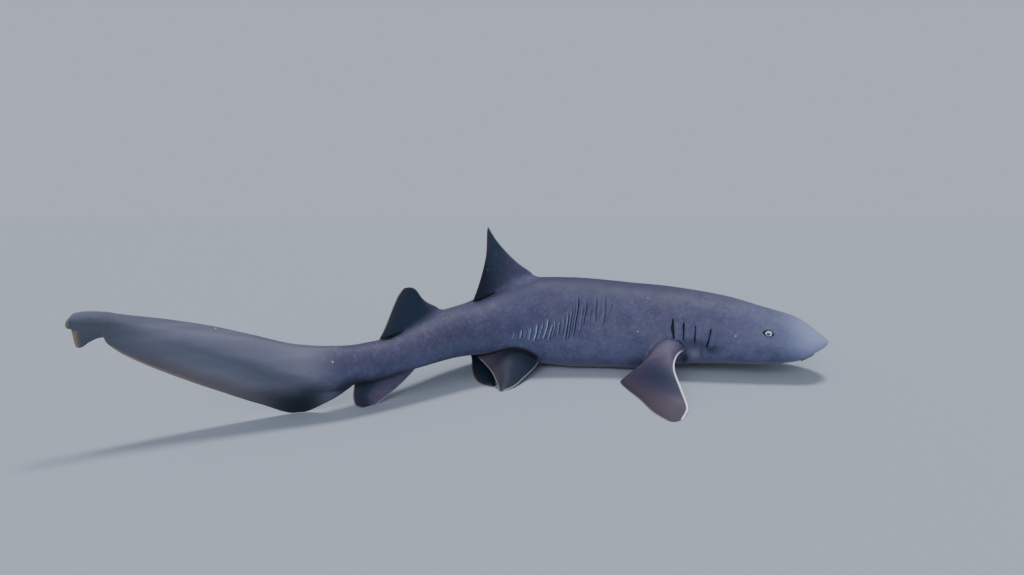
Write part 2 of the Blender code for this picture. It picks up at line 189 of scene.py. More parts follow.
def place(s, lat, z):
    """Point of the scene, in metres, for a point in body coordinates."""
    inside = min(max(s, 0.0), 1.0)
    k = inside * SPINE_STEPS
    i = min(int(k), SPINE_STEPS - 1)
    f = k - i
    heading = headings[i] * (1 - f) + headings[i + 1] * f
    x = spine_x[i] * (1 - f) + spine_x[i + 1] * f + lat * math.sin(heading)
    y = spine_y[i] * (1 - f) + spine_y[i + 1] * f - lat * math.cos(heading)
    x -= (s - inside) * math.cos(heading)
    y -= (s - inside) * math.sin(heading)
    return Vector((x, y, z)) * LENGTH


def eye_centre(side):
    """Middle of an eyeball; side is 1 on the right and -1 on the left."""
    return place(EYE_S, side * (half_width_at(EYE_S, EYE_Z) - EYE_DEPTH), EYE_Z)


eye_low, eye_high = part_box("eye_right")
shift = ((eye_low + eye_high) / 2 - eye_centre(1)) / LENGTH
spine_x += shift.x
spine_y += shift.y
print("spine moved by", [round(v * LENGTH, 4) for v in shift], "to meet the right eye")


def tree_of(points):
    """Search tree that finds the nearest of some points."""
    tree = KDTree(len(points))
    for k, at in enumerate(points):
        tree.insert(at, k)
    tree.balance()
    return tree


def body_places(points):
    """Shares s and lat of many points of the scene: the inverse of place()."""
    at = points[:, :2] / LENGTH
    tree = tree_of([(x, y, 0) for x, y in zip(spine_x, spine_y)])
    s = np.array([spine_s[tree.find((x, y, 0))[1]] for x, y in at])
    for _ in range(SEARCH_ROUNDS):
        heading = np.interp(s, spine_s, headings)
        dx = at[:, 0] - np.interp(s, spine_s, spine_x)
        dy = at[:, 1] - np.interp(s, spine_s, spine_y)
        s = np.clip(s - (dx * np.cos(heading) + dy * np.sin(heading)) * SEARCH_STEP, 0, 1)
    return s, dx * np.sin(heading) - dy * np.cos(heading)

# %% [markdown]
# ## The body tube
# The trunk of a shark is one smooth tube. It could be sculpted from a stretched sphere, but then
# its sections would be nowhere in numbers. So it is made as a loft: a circle of edges is extruded
# from station to station, and each new ring takes the section's shape. Points are spread evenly
# round the girth, so that the faces stay near square. The tail fin is the same tube pressed thin:
# a core of muscle with a web above and below it. Rows lie closest on the head, the flank and the
# notch of the tail fin, where the shape is finest.

# %% Tail fin sections
TAIL_FIN = (  # share of the length, upper and lower edge, core's middle, half height, half width
    (0.735, 0.0785, 0.0320, 0.0553, 0.0233, 0.0210),
    (0.765, 0.0825, 0.0130, 0.0600, 0.0210, 0.0165),
    (0.800, 0.0890, -0.001, 0.0700, 0.0180, 0.0125),    # toe, on the floor
    (0.840, 0.1025, 0.0160, 0.0860, 0.0150, 0.0092),
    (0.880, 0.1160, 0.0375, 0.1010, 0.0120, 0.0065),
    (0.920, 0.1262, 0.0610, 0.1130, 0.0095, 0.0046),
    (0.960, 0.1345, 0.0895, 0.1235, 0.0070, 0.0030),
    (0.9690, 0.1370, 0.0988, 0.1260, 0.0060, 0.0025),
    (0.9740, 0.1376, 0.1062, 0.1262, 0.0057, 0.0024),
    (0.9752, 0.1378, 0.1108, 0.1264, 0.0055, 0.0023),   # notch
    (0.9790, 0.1383, 0.1104, 0.1268, 0.0050, 0.0021),
    (0.9865, 0.1387, 0.1070, 0.1275, 0.0043, 0.0019),
    (0.995, 0.1378, 0.1020, 0.1275, 0.0035, 0.0016),    # end lobe
    (0.9982, 0.1352, 0.1040, 0.1265, 0.0030, 0.0014),
    (0.999, 0.1342, 0.1215, 0.1262, 0.0027, 0.0012),
    (1.002, 0.1305, 0.1225, 0.1262, 0.0018, 0.0011),
    (1.003, 0.1285, 0.1240, 0.1262, 0.0012, 0.0010),    # tip
)
TAIL_LEAN = ((0.735, 0.0), (0.8, 0.28), (0.9, 0.25), (1.0, 0.12))  # sideways slope of the fin
TAIL_SETTLE = 0.06   # length over which the stalk's section becomes a core with two webs
CORE_DROP = 1.4      # how much farther the core thins out downward than upward
CORE_HOLLOW = 0.8    # how much the core's sides are hollowed
WEB = 0.0016         # extra half thickness of the web in its middle
FINE = 160           # points that a half section is drawn with before it is spread evenly
EDGE_POWER = 40      # how sharply the web's edges are rounded


def body_half(s):
    """Right half of the body's section from the underside to the back: distances out, heights."""
    width, under, back, level = body_section(s)
    angle = np.linspace(-math.pi / 2, math.pi / 2, FINE)
    c, q = np.clip(np.cos(angle), 0, 1), np.sin(angle)
    power = np.where(q >= 0, BACK_POWER, BELLY_POWER)
    reach = np.where(q >= 0, back - level, level - under)
    return width * c ** (2 / power), level + reach * np.sign(q) * np.abs(q) ** (2 / power)


def tail_half(s):
    """Right half of the tail fin's section, from its lower to its upper edge."""
    upper, lower, middle, core_height, core_width = (hermite(TAIL_FIN, c, s) for c in range(1, 6))
    soft = min(max((s - TAIL_START) / TAIL_SETTLE, 0.0), 1.0)
    q = -np.cos(np.linspace(0, math.pi, FINE))
    z = (upper + lower) / 2 + (upper - lower) / 2 * q
    reach = core_height * np.where(z > middle, 1, 1 + CORE_DROP * soft)
    share = np.clip(np.abs(z - middle) / reach, 0, 1)
    core = core_width * (1 - share ** 2) ** (1 / BACK_POWER + soft * CORE_HOLLOW)
    web = (EDGE / LENGTH / 2 + WEB * (1 - q * q) * soft) * np.sqrt(1 - np.abs(q) ** EDGE_POWER)
    return np.maximum(core, web), z


def spread(out, z, count):
    """The same curve with count points at even distances along it."""
    step = np.hypot(np.diff(out), np.diff(z))
    run = np.concatenate([[0], np.cumsum(step)])
    even = np.linspace(0, run[-1], count)
    return np.interp(even, run, out), np.interp(even, run, z)

# %% Rings of the body
RING = 96            # points round the body
NOSE_ROWS = 40       # rows on the rounded snout
FIRST_ROW = 0.2      # how far behind the snout's tip the first of them lies, in steps
SPACING = (          # share of the length, distance between two rows there in metres
    (0.0, 0.0036), (0.23, 0.0036), (0.29, 0.0056), (0.52, 0.0056), (0.58, 0.0090),
    (0.95, 0.0090), (0.965, 0.0014), (1.003, 0.0014))


def section_ring(s):
    """Ring of body coordinates (s, lat, z): up the right side and down the left."""
    count = RING // 2 + 1
    out, z = spread(*body_half(s), count)
    blend = float(ramp(s, TAIL_START - TAIL_BLEND, TAIL_START))
    lean = np.zeros(count)
    if blend > 0:
        tail_out, tail_z = spread(*tail_half(s), count)
        out = out * (1 - blend) + tail_out * blend
        z = z * (1 - blend) + tail_z * blend
        lean = hermite(TAIL_LEAN, 1, s) * (z - hermite(TAIL_FIN, 3, s))
    z = np.maximum(z, 0)
    right = [(s, lean[k] + out[k], z[k]) for k in range(count)]
    left = [(s, lean[k] - out[k], z[k]) for k in range(count - 2, 0, -1)]
    return right + left


def row_stations():
    """Shares of the length of all rows."""
    turn = math.pi / 2 / NOSE_ROWS
    rows = [NOSE_ROUND * (1 - math.cos(turn * (k + FIRST_ROW))) for k in range(NOSE_ROWS)]
    s = NOSE_ROUND
    while s < TAIL_FIN[-1][0]:
        rows.append(s)
        s += hermite(SPACING, 1, s) / LENGTH
    return rows + [TAIL_FIN[-1][0]]


ROWS = row_stations()
print(len(ROWS), "rows of", RING, "points")

# %% [markdown]
# ## The loft
# One small function makes the body, the fins and the barbels alike: a capped circle from bmesh,
# then one extrusion of its open edge for each ring. A whole-number layer remembers each point's
# place on the ring. Three more layers keep its body coordinates, because every cut made later
# fills them in between by itself, where a list beside the mesh would have to be kept in step.

# %% Loft by extrusion
LAYERS = ("along", "across", "height")


def loft(rings, to_frame=place):
    """Closed bmesh through rings of body coordinates with the same number of points."""
    bm = bmesh.new()
    turn = bm.verts.layers.int.new("turn")
    layers = [bm.verts.layers.float.new(name) for name in LAYERS]
    count = len(rings[0])

    def settle(vert, spot):
        vert.co = to_frame(*spot)
        for layer, value in zip(layers, spot):
            vert[layer] = value

    bmesh.ops.create_circle(bm, segments=count, radius=1, cap_ends=True, cap_tris=True)
    rim = [v for v in bm.verts if v.co.length > 0.5]
    rim.sort(key=lambda v: math.atan2(v.co.y, v.co.x) % (2 * math.pi))
    hub = next(v for v in bm.verts if v.co.length < 0.5)
    for k, vert in enumerate(rim):
        vert[turn] = k
        settle(vert, rings[0][k])
    settle(hub, [sum(spot[i] for spot in rings[0]) / count for i in range(3)])
    edges = [e for e in bm.edges if e.is_boundary]
    for ring in rings[1:]:
        made = bmesh.ops.extrude_edge_only(bm, edges=edges)["geom"]
        edges = [g for g in made if isinstance(g, bmesh.types.BMEdge) and g.is_boundary]
        for vert in made:
            if isinstance(vert, bmesh.types.BMVert):
                settle(vert, ring[vert[turn]])
    cap = bmesh.ops.holes_fill(bm, edges=edges, sides=0)["faces"]
    bmesh.ops.poke(bm, faces=cap)
    bmesh.ops.recalc_face_normals(bm, faces=bm.faces)
    return bm


body = loft([section_ring(s) for s in ROWS])
print("body tube:", len(body.faces), "faces")

# %% [markdown]
# ## Finer mesh where the detail is
# Gill slits are a few millimetres wide on an animal of over two metres. A mesh that fine all over
# would be huge, so only the faces near the gills, eyes, mouth and wrinkled flank are split, once,
# twice or three times. The tests use the body coordinates kept in the layers.

# %% Where the details lie
GILLS = (  # share of the length, lowest and highest point, gape in metres, lean to the tail
    (0.1695, 0.0440, 0.0715, 0.0046, -0.19),
    (0.1895, 0.0520, 0.0755, 0.0038, -0.02),
    (0.2060, 0.0545, 0.0790, 0.0050, -0.03),
    (0.2208, 0.0500, 0.0840, 0.0088, 0.08),
    (0.2300, 0.0440, 0.0560, 0.0030, 0.00),
)
NOSTRIL = (0.0205, 0.0262)    # share of the length, distance from the midline
MOUTH_S = 0.0485              # middle of the mouth
MOUTH_CURVE = 0.0085          # how far its corners lie behind the middle
MOUTH_HALF = 0.0300           # half its width
VENT_S = 0.5420
SPIRACLE = (0.1130, 0.0655)   # share of the length, height
EYE_SLOPE = 1.11              # distance over the skin at the eye for one of height
FOLDS = (  # upper end and lower end as share and height, depth in metres
    (0.316, 0.104, 0.321, 0.086, 0.0014), (0.326, 0.109, 0.332, 0.073, 0.0028),
    (0.335, 0.101, 0.338, 0.083, 0.0016), (0.342, 0.108, 0.346, 0.076, 0.0030),
    (0.351, 0.099, 0.355, 0.078, 0.0018), (0.359, 0.105, 0.368, 0.070, 0.0034),
    (0.365, 0.101, 0.375, 0.058, 0.0022), (0.373, 0.110, 0.390, 0.053, 0.0046),
    (0.381, 0.099, 0.395, 0.056, 0.0028), (0.388, 0.094, 0.401, 0.050, 0.0036),
    (0.397, 0.088, 0.407, 0.050, 0.0042), (0.406, 0.083, 0.413, 0.058, 0.0024),
    (0.417, 0.078, 0.422, 0.057, 0.0028), (0.427, 0.080, 0.434, 0.054, 0.0026),
    (0.433, 0.074, 0.443, 0.050, 0.0040), (0.441, 0.082, 0.453, 0.052, 0.0052),
    (0.453, 0.076, 0.463, 0.052, 0.0034), (0.464, 0.075, 0.472, 0.050, 0.0052),
    (0.477, 0.071, 0.481, 0.052, 0.0040), (0.485, 0.068, 0.490, 0.054, 0.0026),
    (0.493, 0.069, 0.498, 0.056, 0.0042), (0.507, 0.067, 0.510, 0.057, 0.0026),
)
FOLD_WANDER = 0.0011          # how far a fold swings from its straight line, metres


def gill_offset(s, z, gill):
    """Distance behind a gill slit, in metres."""
    return (s - gill[0] - gill[4] * (z - (gill[1] + gill[2]) / 2)) * LENGTH


def fold_offset(s, z, fold):
    """Distance behind a fold in metres, and the place along it from -1 to 1 at its upper end."""
    share = (z - fold[3]) / (fold[1] - fold[3])
    wander = FOLD_WANDER * np.sin(z * LENGTH * 85 + fold[0] * 900)   # one swing in 7 cm
    return (s - fold[2] - (fold[0] - fold[2]) * share) * LENGTH + wander, share * 2 - 1


def mouth_offset(s, lat):
    """Distance behind the line of the mouth, in metres."""
    return (s - MOUTH_S - MOUTH_CURVE * (lat / MOUTH_HALF) ** 2) * LENGTH


def eye_offset(s, z):
    """Distances from the eye's middle on the skin, toward the tail and upward, in metres."""
    return (s - EYE_S) * LENGTH, (z - EYE_Z) * LENGTH * EYE_SLOPE

# %% Split the faces there
SIDE_START = 0.030   # distance from the midline where the animal's sides begin
SIDE_FULL = 0.035


def near_gills(behind, ahead):
    def test(s, lat, z):
        return abs(lat) > SIDE_START and any(
            -ahead < gill_offset(s, z, g) < g[3] + behind and g[1] - 0.004 < z < g[2] + 0.004
            for g in GILLS)
    return test


def near_eye(reach):
    return lambda s, lat, z: abs(lat) > SIDE_START and math.hypot(*eye_offset(s, z)) < reach


def near_mouth(reach):
    return lambda s, lat, z: (z < 0.040 and abs(lat) < MOUTH_HALF + 0.004
                              and abs(mouth_offset(s, lat)) < reach)


def near_nostril(reach):
    return lambda s, lat, z: (z < 0.045 and math.hypot(s - NOSTRIL[0], abs(lat) - NOSTRIL[1])
                              * LENGTH < reach)


def near_folds(reach):
    def test(s, lat, z):
        if lat < SIDE_START or not 0.31 < s < 0.53:
            return False
        offsets = [fold_offset(s, z, fold) for fold in FOLDS]
        return any(abs(behind) < reach and abs(place_on) < 1.25 for behind, place_on in offsets)
    return test


def near_vent(s, lat, z):
    return abs(s - VENT_S) < 0.012 and abs(lat) < 0.008 and z < 0.06


SPLITS = (  # tests for the first, the second and the third round, with their reach in metres
    (near_gills(0.016, 0.016), near_eye(0.026), near_mouth(0.022), near_nostril(0.016),
     near_folds(0.014), near_vent),
    (near_gills(0.006, 0.007), near_eye(0.019), near_mouth(0.010), near_nostril(0.010),
     near_folds(0.0045), near_vent),
    (near_gills(0.002, 0.0025), near_eye(0.0155), near_mouth(0.0035), near_nostril(0.006)),
)
layers = [body.verts.layers.float[name] for name in LAYERS]


def middle_of(face):
    """Body coordinates of a face's middle."""
    return [sum(v[layer] for v in face.verts) / len(face.verts) for layer in layers]


for tests in SPLITS:
    chosen = [f for f in body.faces if any(test(*middle_of(f)) for test in tests)]
    edges = list(dict.fromkeys(e for f in chosen for e in f.edges))   # each edge once
    bmesh.ops.subdivide_edges(body, edges=edges, cuts=1, use_grid_fill=True)
    print("split", len(chosen), "faces, now", len(body.faces))

# %% [markdown]
# ## Relief of the skin
# Slits, lids, lips and folds could be cut or sculpted one by one. Here they are drawn by moving
# each point along its normal, which keeps the skin closed and each size in millimetres. Every
# feature is a short formula of the distance to it: a gill slit is a steep wall behind a slightly
# raised flap, an eyelid follows the eyeball and drops behind it, and the folds of the bent flank
# are soft valleys with a bulge on both sides. Each formula gives a rise in metres and a share of
# painted shade from 0 to 1 inside a slit. Some also give a painted highlight on the raised edge
# beside it, or a soft painted shade in a hollow. The skin's finish reads these to paint that
# light and shade onto the skin.

# %% Gills
FLAP_RISE = 0.0036    # height of the flap before a gill slit, metres
SLIT_DEPTH = 0.0120
DIP_DEPTH = 0.0026    # depth of the hollow behind the slit
FLAP_FADE = 0.010     # distance over which flap and hollow die away
WALL = (-0.0006, 0.0008)   # where the slit's front wall starts and ends


def bell(x, width):
    """Bell curve of height 1."""
    return np.exp(-(x / width) ** 2)


def on_sides(lat):
    """1 on the animal's two sides and 0 near its midline."""
    return ramp(np.abs(lat), SIDE_START, SIDE_FULL)


def gill_relief(s, lat, z):
    rise, recess_shade, lit_edge = np.zeros_like(s), np.zeros_like(s), np.zeros_like(s)
    side = on_sides(lat)
    for gill in GILLS:
        behind = gill_offset(s, z, gill)
        gape = gill[3] * (0.80 + 0.30 * np.sin(z * LENGTH * 110 + gill[0] * 500))  # uneven width
        share = (z - (gill[1] + gill[2]) / 2) / ((gill[2] - gill[1]) / 2)
        length = side * np.sqrt(np.clip(1 - share ** 2, 0, 1))
        fringe = side * bell(share, 1.1)
        flap = np.where(behind < 0, FLAP_RISE * np.exp(np.minimum(behind, 0) / FLAP_FADE), 0)
        floor = ramp(behind, *WALL) * (1 - ramp(behind, gape * 0.6, gape * 1.05))
        dip = np.where(behind > 0,
                       DIP_DEPTH * np.exp(-np.maximum(behind - gape, 0) / FLAP_FADE), 0)
        rise += flap * fringe * (1 - ramp(behind, -0.0006, 0.0004))
        rise -= np.maximum(SLIT_DEPTH * floor * length,
                           dip * fringe * ramp(behind, -0.0002, 0.0008))
        # painted shade inside the slit, and a painted highlight on the raised flap ahead of it
        recess_shade = np.maximum(recess_shade, floor * ramp(length, 0.05, 0.4))
        lit_edge = np.maximum(lit_edge, 0.16 * bell(behind + 0.0090, 0.0070) * ramp(length, 0.1, 0.9))
    return rise, recess_shade, lit_edge


# %% Throat
# The hollow, the rim, the dusk and the armpit give painted shade, and the lump a painted highlight.
THROAT = (  # middle as share of the length and height, half length and half height in metres
    (0.1905, 0.0340, 0.021, 0.022),   # lump: the end of the shoulder girdle
    (0.1650, 0.0415, 0.023, 0.014),   # hollow ahead of it
    (0.1795, 0.0375, 0.006, 0.017),   # rim between the two
    (0.1900, 0.0480, 0.050, 0.022),   # dusk under the slits
    (0.2035, 0.0280, 0.012, 0.030),   # armpit of the fin
)


def throat_relief(s, lat, z):
    """Swelling before the pectoral fin and hollow ahead; painted shade in hollows, highlight on the
    swelling.
    """
    lump, hollow, rim, dusk, armpit = (
        bell((s - at_s) * LENGTH, half_long) * bell((z - at_z) * LENGTH, half_high) * on_sides(lat)
        for at_s, at_z, half_long, half_high in THROAT)
    shade = np.maximum.reduce([0.92 * hollow, 0.80 * rim, 0.85 * dusk * (1 - lump), 0.9 * armpit])
    return 0.0050 * lump - 0.0038 * hollow - 0.0012 * rim, shade, lump


# %% Mouth and nostrils
MOUTH_DEPTH = 0.0085
CORNER_DEPTH = 0.0025   # of the furrow at each corner of the mouth
NOSTRIL_DEPTH = 0.0070
GROOVE_DEPTH = 0.0020   # of the groove from nostril to mouth


def mouth_relief(s, lat, z, down):
    behind = mouth_offset(s, lat)
    width = down * (1 - ramp(np.abs(lat), MOUTH_HALF * 0.86, MOUTH_HALF * 1.04))
    line = bell(behind, 0.0019) * width
    lips = (bell(behind - 0.0075, 0.0055) * 0.0026 + bell(behind + 0.0070, 0.0050) * 0.0018) * width
    corner = np.hypot((s - MOUTH_S - MOUTH_CURVE) * LENGTH,
                      (np.abs(lat) - MOUTH_HALF) * LENGTH)
    furrow = bell(corner, 0.0040) * down
    # the second value is painted shade in the line of the mouth and in its corners
    return lips - MOUTH_DEPTH * line - CORNER_DEPTH * furrow, np.maximum(line, 0.5 * furrow)


def nostril_relief(s, lat, z, down):
    ds = (s - NOSTRIL[0]) * LENGTH
    dl = (np.abs(lat) - NOSTRIL[1]) * LENGTH
    hole = bell(np.hypot(ds, dl * 1.5), 0.0040) * down
    share = np.clip((s - NOSTRIL[0]) / (MOUTH_S - NOSTRIL[0]), 0, 1)
    groove = (bell((np.abs(lat) - NOSTRIL[1] + 0.004 * share) * LENGTH, 0.0018) * down
              * ramp(share, 0.0, 0.1) * (1 - ramp(share, 0.86, 1.0)))
    # the second value is painted shade in the nostril and in its groove
    return -NOSTRIL_DEPTH * hole - GROOVE_DEPTH * groove, np.maximum(hole, 0.4 * groove)

# %% Eyelids and spiracle
EYE_RADIUS = 0.0068 * LENGTH
LID_HALF = (0.0116, 0.0072)   # half length and half height of the opening of the lids, metres
LID_TILT = 0.15               # slope of the opening, lower in front
LID_CORNER = 0.40             # how far the opening narrows toward its front corner
LID_OVER = 0.0009             # how far the lids lie over the eyeball
LID_SINK = 0.0050             # how far the skin drops behind the lids' edge
SPIRACLE_DEPTH = 0.0050


def eye_relief(s, lat, z):
    a, b = eye_offset(s, z)
    side = on_sides(lat)
    r = np.hypot(a, b)
    narrowing = 1 - LID_CORNER * ramp(-a / LID_HALF[0], 0.1, 1.0)
    share = np.hypot(a / LID_HALF[0], (b - LID_TILT * a) / (LID_HALF[1] * narrowing))
    ball = np.sqrt(np.clip(EYE_RADIUS ** 2 - r ** 2, 0, None)) - EYE_DEPTH * LENGTH
    lid = np.maximum(ball + LID_OVER, 0) + 0.0012 * bell(r - 0.0135, 0.0045)
    brow = 0.0022 * bell(a, 0.024) * bell(b - 0.0165, 0.0075)
    inside = 1 - ramp(share, 0.90, 1.03)
    hole = np.hypot((s - SPIRACLE[0]) * LENGTH, (z - SPIRACLE[1]) * LENGTH)
    spiracle = bell(hole, 0.0024) * side
    rise = (lid * (1 - inside) - LID_SINK * inside + brow) * side - SPIRACLE_DEPTH * spiracle
    # painted shade in and round the opening of the lids, wider above under the brow, and in the
    # spiracle
    dark_to = 1.20 + 0.22 * ramp(b / LID_HALF[1], -0.3, 0.5)   # the dark rim is wider above
    return rise, np.maximum((1 - ramp(share, dark_to, dark_to + 0.26)) * side, 0.7 * spiracle)

# %% Folds of the bent flank
DEEPEST = max(fold[4] for fold in FOLDS)
REAR_FOLDS = (0.38, 0.43)   # share of the length over which the painted highlights on the folds' ridges grow brighter


def fold_relief(s, lat, z):
    rise, recess_shade, lit_edge = np.zeros_like(s), np.zeros_like(s), np.zeros_like(s)
    for fold in FOLDS:
        behind, place_on = fold_offset(s, z, fold)
        depth = fold[4]
        fade = np.clip(1.30 - np.abs(place_on) ** 3, 0, 1) * (lat > 0)
        rise += depth * fade * (0.50 * bell(behind + 0.0060, 0.0042)
                                + 0.60 * bell(behind - 0.0060, 0.0042) - bell(behind, 0.0026))
        light = 0.4 + 0.6 * ramp(fold[2], *REAR_FOLDS)
        # painted shade in each valley, and a painted highlight on the bulge behind it
        recess_shade = np.maximum(recess_shade, 0.85 * depth / DEEPEST * fade * bell(behind, 0.0022))
        lit_edge = np.maximum(lit_edge, depth / DEEPEST * light * fade * bell(behind - 0.0060, 0.0032))
    return rise, recess_shade, lit_edge

# %% Move the points
SWELL = 0.0007        # height of the flesh's soft lumps, metres; they are about 11 and 5 cm apart
VENT_DEPTH = 0.0035

body.normal_update()
s, lat, z = np.array([[v[layer] for layer in layers] for v in body.verts]).T
down = ramp(np.array([-v.normal.z for v in body.verts]), 0.05, 0.35)
gill_rise, gill_shade, gill_lit_edge = gill_relief(s, lat, z)
throat_rise, shades, lump_highlights = throat_relief(s, lat, z)
mouth_rise, mouth_shade = mouth_relief(s, lat, z, down)
nostril_rise, nostril_shade = nostril_relief(s, lat, z, down)
eye_rise, eye_shade = eye_relief(s, lat, z)
fold_rise, fold_shade, fold_lit_edge = fold_relief(s, lat, z)
vent = bell(lat * LENGTH, 0.0022) * bell((s - VENT_S) * LENGTH, 0.0130) * down
rise = gill_rise + throat_rise + mouth_rise + nostril_rise + eye_rise + fold_rise
rise -= VENT_DEPTH * vent
# painted shade in the slits, mouth, nostrils, eyes, folds and vent; painted highlights beside gills
# and folds
recess_shades = np.maximum.reduce([gill_shade, mouth_shade, nostril_shade, eye_shade, fold_shade, 0.8 * vent])
lips = np.maximum(gill_lit_edge, fold_lit_edge)
for k, vert in enumerate(body.verts):
    lump = SWELL * (noise.noise(vert.co * 9) + 0.5 * noise.noise(vert.co * 21))
    vert.co += vert.normal * (float(rise[k]) + lump * min(float(s[k]) / 0.06, 1.0))
    vert.co.z = max(vert.co.z, 0.0)
print("relief from", round(rise.min() * 1000, 1), "to", round(rise.max() * 1000, 1), "mm")

MARKS = [(vert.co.copy(), float(recess_shades[k]), float(shades[k]), float(lips[k]), float(lump_highlights[k]))
         for k, vert in enumerate(body.verts)]   # place, painted shade in recesses and in hollows, painted highlights on edges and on the lump

# %% [markdown]
# ## Fins
# A shark's fin is a thin blade, blunt in front and fine behind, stiffened by horny rays. A flat
# outline with a Solidify modifier would be quicker, but its edges would be square. So each fin is
# the same loft as the body, with a foil section that runs round from the front edge over one face
# to the rear edge and back under the other. The blade between its two edges may be arched, and its
# tip is rounded by drawing in the last sections.

# %% Fin outlines
# leading, trailing: the front and the rear edge from root to tip, as (s, lat, z)
# insertion: where the root ends and the rear corner comes free; sink: depth of the root in the body
# thickness: of the root; fade: how soon the blade thins out from there
# flare, flare_end: how much an upright fin's root is thickened, and up to where along the chord
# arch, root_arch: rise of a paired fin's middle over its two edges, along the span and at the root
FLAT = EDGE / 6 / LENGTH   # height of a fin's middle surface where it lies on the floor
FIRST_DORSAL = dict(
    leading=((0.400, 0, 0.120), (0.430, 0, 0.1375), (0.465, 0, 0.1596), (0.499, 0, 0.1907),
             (0.5165, 0, 0.2136)),
    trailing=((0.547, 0, 0.1085), (0.5325, 0, 0.136), (0.5215, 0, 0.171), (0.5195, 0, 0.205),
              (0.5175, 0, 0.2134)),
    insertion=0.505, sink=0.014, thickness=0.010, flare=1.7, flare_end=0.66)
SECOND_DORSAL = dict(
    leading=((0.580, 0, 0.0935), (0.611, 0, 0.1085), (0.6345, 0, 0.1205), (0.648, 0, 0.1362),
             (0.6575, 0, 0.1405)),
    trailing=((0.703, 0, 0.0815), (0.6935, 0, 0.0970), (0.684, 0, 0.1160), (0.6755, 0, 0.1310),
              (0.667, 0, 0.1400)),
    insertion=0.672, sink=0.012, thickness=0.008, flare=1.7, flare_end=0.70)
ANAL = dict(
    leading=((0.634, 0, 0.044), (0.657, 0, 0.0288), (0.682, 0, 0.0135), (0.710, 0, -0.0004)),
    trailing=((0.7365, 0, 0.0295), (0.739, 0, 0.018), (0.737, 0, 0.005), (0.729, 0, -0.0004)),
    insertion=0.711, sink=-0.012, thickness=0.007)
PECTORAL = dict(
    leading=((0.199, 0.055, 0.0375), (0.2185, 0.116, 0.0425), (0.2265, 0.155, 0.035),
             (0.2190, 0.186, 0.019), (0.2125, 0.212, 0.005), (0.223, 0.240, FLAT)),
    trailing=((0.262, 0.055, 0.018), (0.269, 0.083, 0.0085), (0.283, 0.096, 0.0040),
              (0.3065, 0.111, 0.0010), (0.297, 0.147, FLAT), (0.281, 0.180, FLAT),
              (0.264, 0.222, FLAT), (0.240, 0.250, FLAT)),
    arch=0.004, root_arch=0.0205, thickness=0.024, fade=1.9)
PECTORAL_LEFT = dict(
    PECTORAL,
    leading=((0.199, 0.055, 0.0375), (0.212, 0.112, 0.0425), (0.223, 0.155, 0.035),
             (0.230, 0.188, 0.019), (0.236, 0.213, 0.005), (0.248, 0.236, FLAT)),
    trailing=((0.262, 0.055, 0.018), (0.269, 0.083, 0.0085), (0.281, 0.096, 0.0050),
              (0.300, 0.108, 0.0020), (0.302, 0.144, FLAT), (0.295, 0.180, FLAT),
              (0.283, 0.216, FLAT), (0.264, 0.238, FLAT)))
PELVIC = dict(
    leading=((0.438, 0.040, 0.0190), (0.475, 0.0613, 0.0118), (0.511, 0.0745, 0.0062),
             (0.546, 0.0831, 0.0018), (0.570, 0.0825, FLAT)),
    trailing=((0.560, 0.014, 0.038), (0.5555, 0.033, 0.0245), (0.559, 0.050, 0.0164),
              (0.567, 0.067, 0.006), (0.5765, 0.079, FLAT)),
    arch=0.004, root_arch=0.028, thickness=0.010)
PELVIC_LEFT = dict(
    PELVIC,
    leading=((0.446, 0.038, 0.020), (0.470, 0.024, 0.0105), (0.500, -0.004, 0.004),
             (0.530, -0.030, FLAT), (0.555, -0.056, FLAT)),
    trailing=((0.548, 0.006, 0.036), (0.5500, 0.000, 0.0225), (0.5520, -0.002, 0.0060),
              (0.5650, -0.024, FLAT), (0.5720, -0.046, FLAT), (0.5700, -0.061, FLAT)),
    root_arch=0.0)


# %% The blade's surface
ROOT_FREE = 0.006    # length over which the rear corner of a fin comes free of the body
ROOT_GAP = 0.0010    # height of that corner over the skin
ROOT_PULL = 6        # how close to the root the blade is drawn into the body: more is closer
NORMAL_STEP = 0.004  # step along the surface by which its normal is measured


def upright_blade(fin):
    """Surface of a fin on the midline: share u along the chord, share v from root to tip."""
    first, last = fin["leading"][0][0], fin["trailing"][0][0]

    def root(u):
        s = first + (last - first) * u
        skin = body_section(s)[2 if fin["sink"] > 0 else 1]
        free = min(max((s - fin["insertion"]) / ROOT_FREE, 0.0), 1.0)
        gap = math.copysign(ROOT_GAP, fin["sink"])
        return s, skin - fin["sink"] * (1 - free) + gap * free

    def point(u, v):
        at = along(fin["leading"], v).lerp(along(fin["trailing"], v), u)
        s0, z0 = root(u)
        weight = (1 - v) ** ROOT_PULL
        return place(at.x * (1 - weight) + s0 * weight, at.y, at.z * (1 - weight) + z0 * weight)

    def normal(u, v):
        s = along(fin["leading"], v).lerp(along(fin["trailing"], v), u).x
        return (place(s, 0.01, 0) - place(s, 0, 0)).normalized()

    return point, normal


def paired_blade(fin, side):
    """Surface of a pectoral or pelvic fin, arched between its two edges."""
    def point(u, v):
        at = along(fin["leading"], v).lerp(along(fin["trailing"], v), u)
        arch = fin["arch"] * 4 * v * (1 - v) + fin["root_arch"] * (1 - v) ** 2
        return place(at.x, side * at.y, at.z + arch * math.sin(math.pi * u))

    def normal(u, v):
        u0, u1 = max(u - NORMAL_STEP, 0), min(u + NORMAL_STEP, 1)
        v0, v1 = max(v - NORMAL_STEP, 0), min(v + NORMAL_STEP, 1)
        return (point(u1, v) - point(u0, v)).cross(point(u, v1) - point(u, v0)).normalized()

    return point, normal


def foil(u):
    """Thickness of a fin along its chord: blunt in front, thin behind."""
    return 2.6 * math.sqrt(max(u, 0.0)) * (1 - u) * (1 - 0.35 * u)

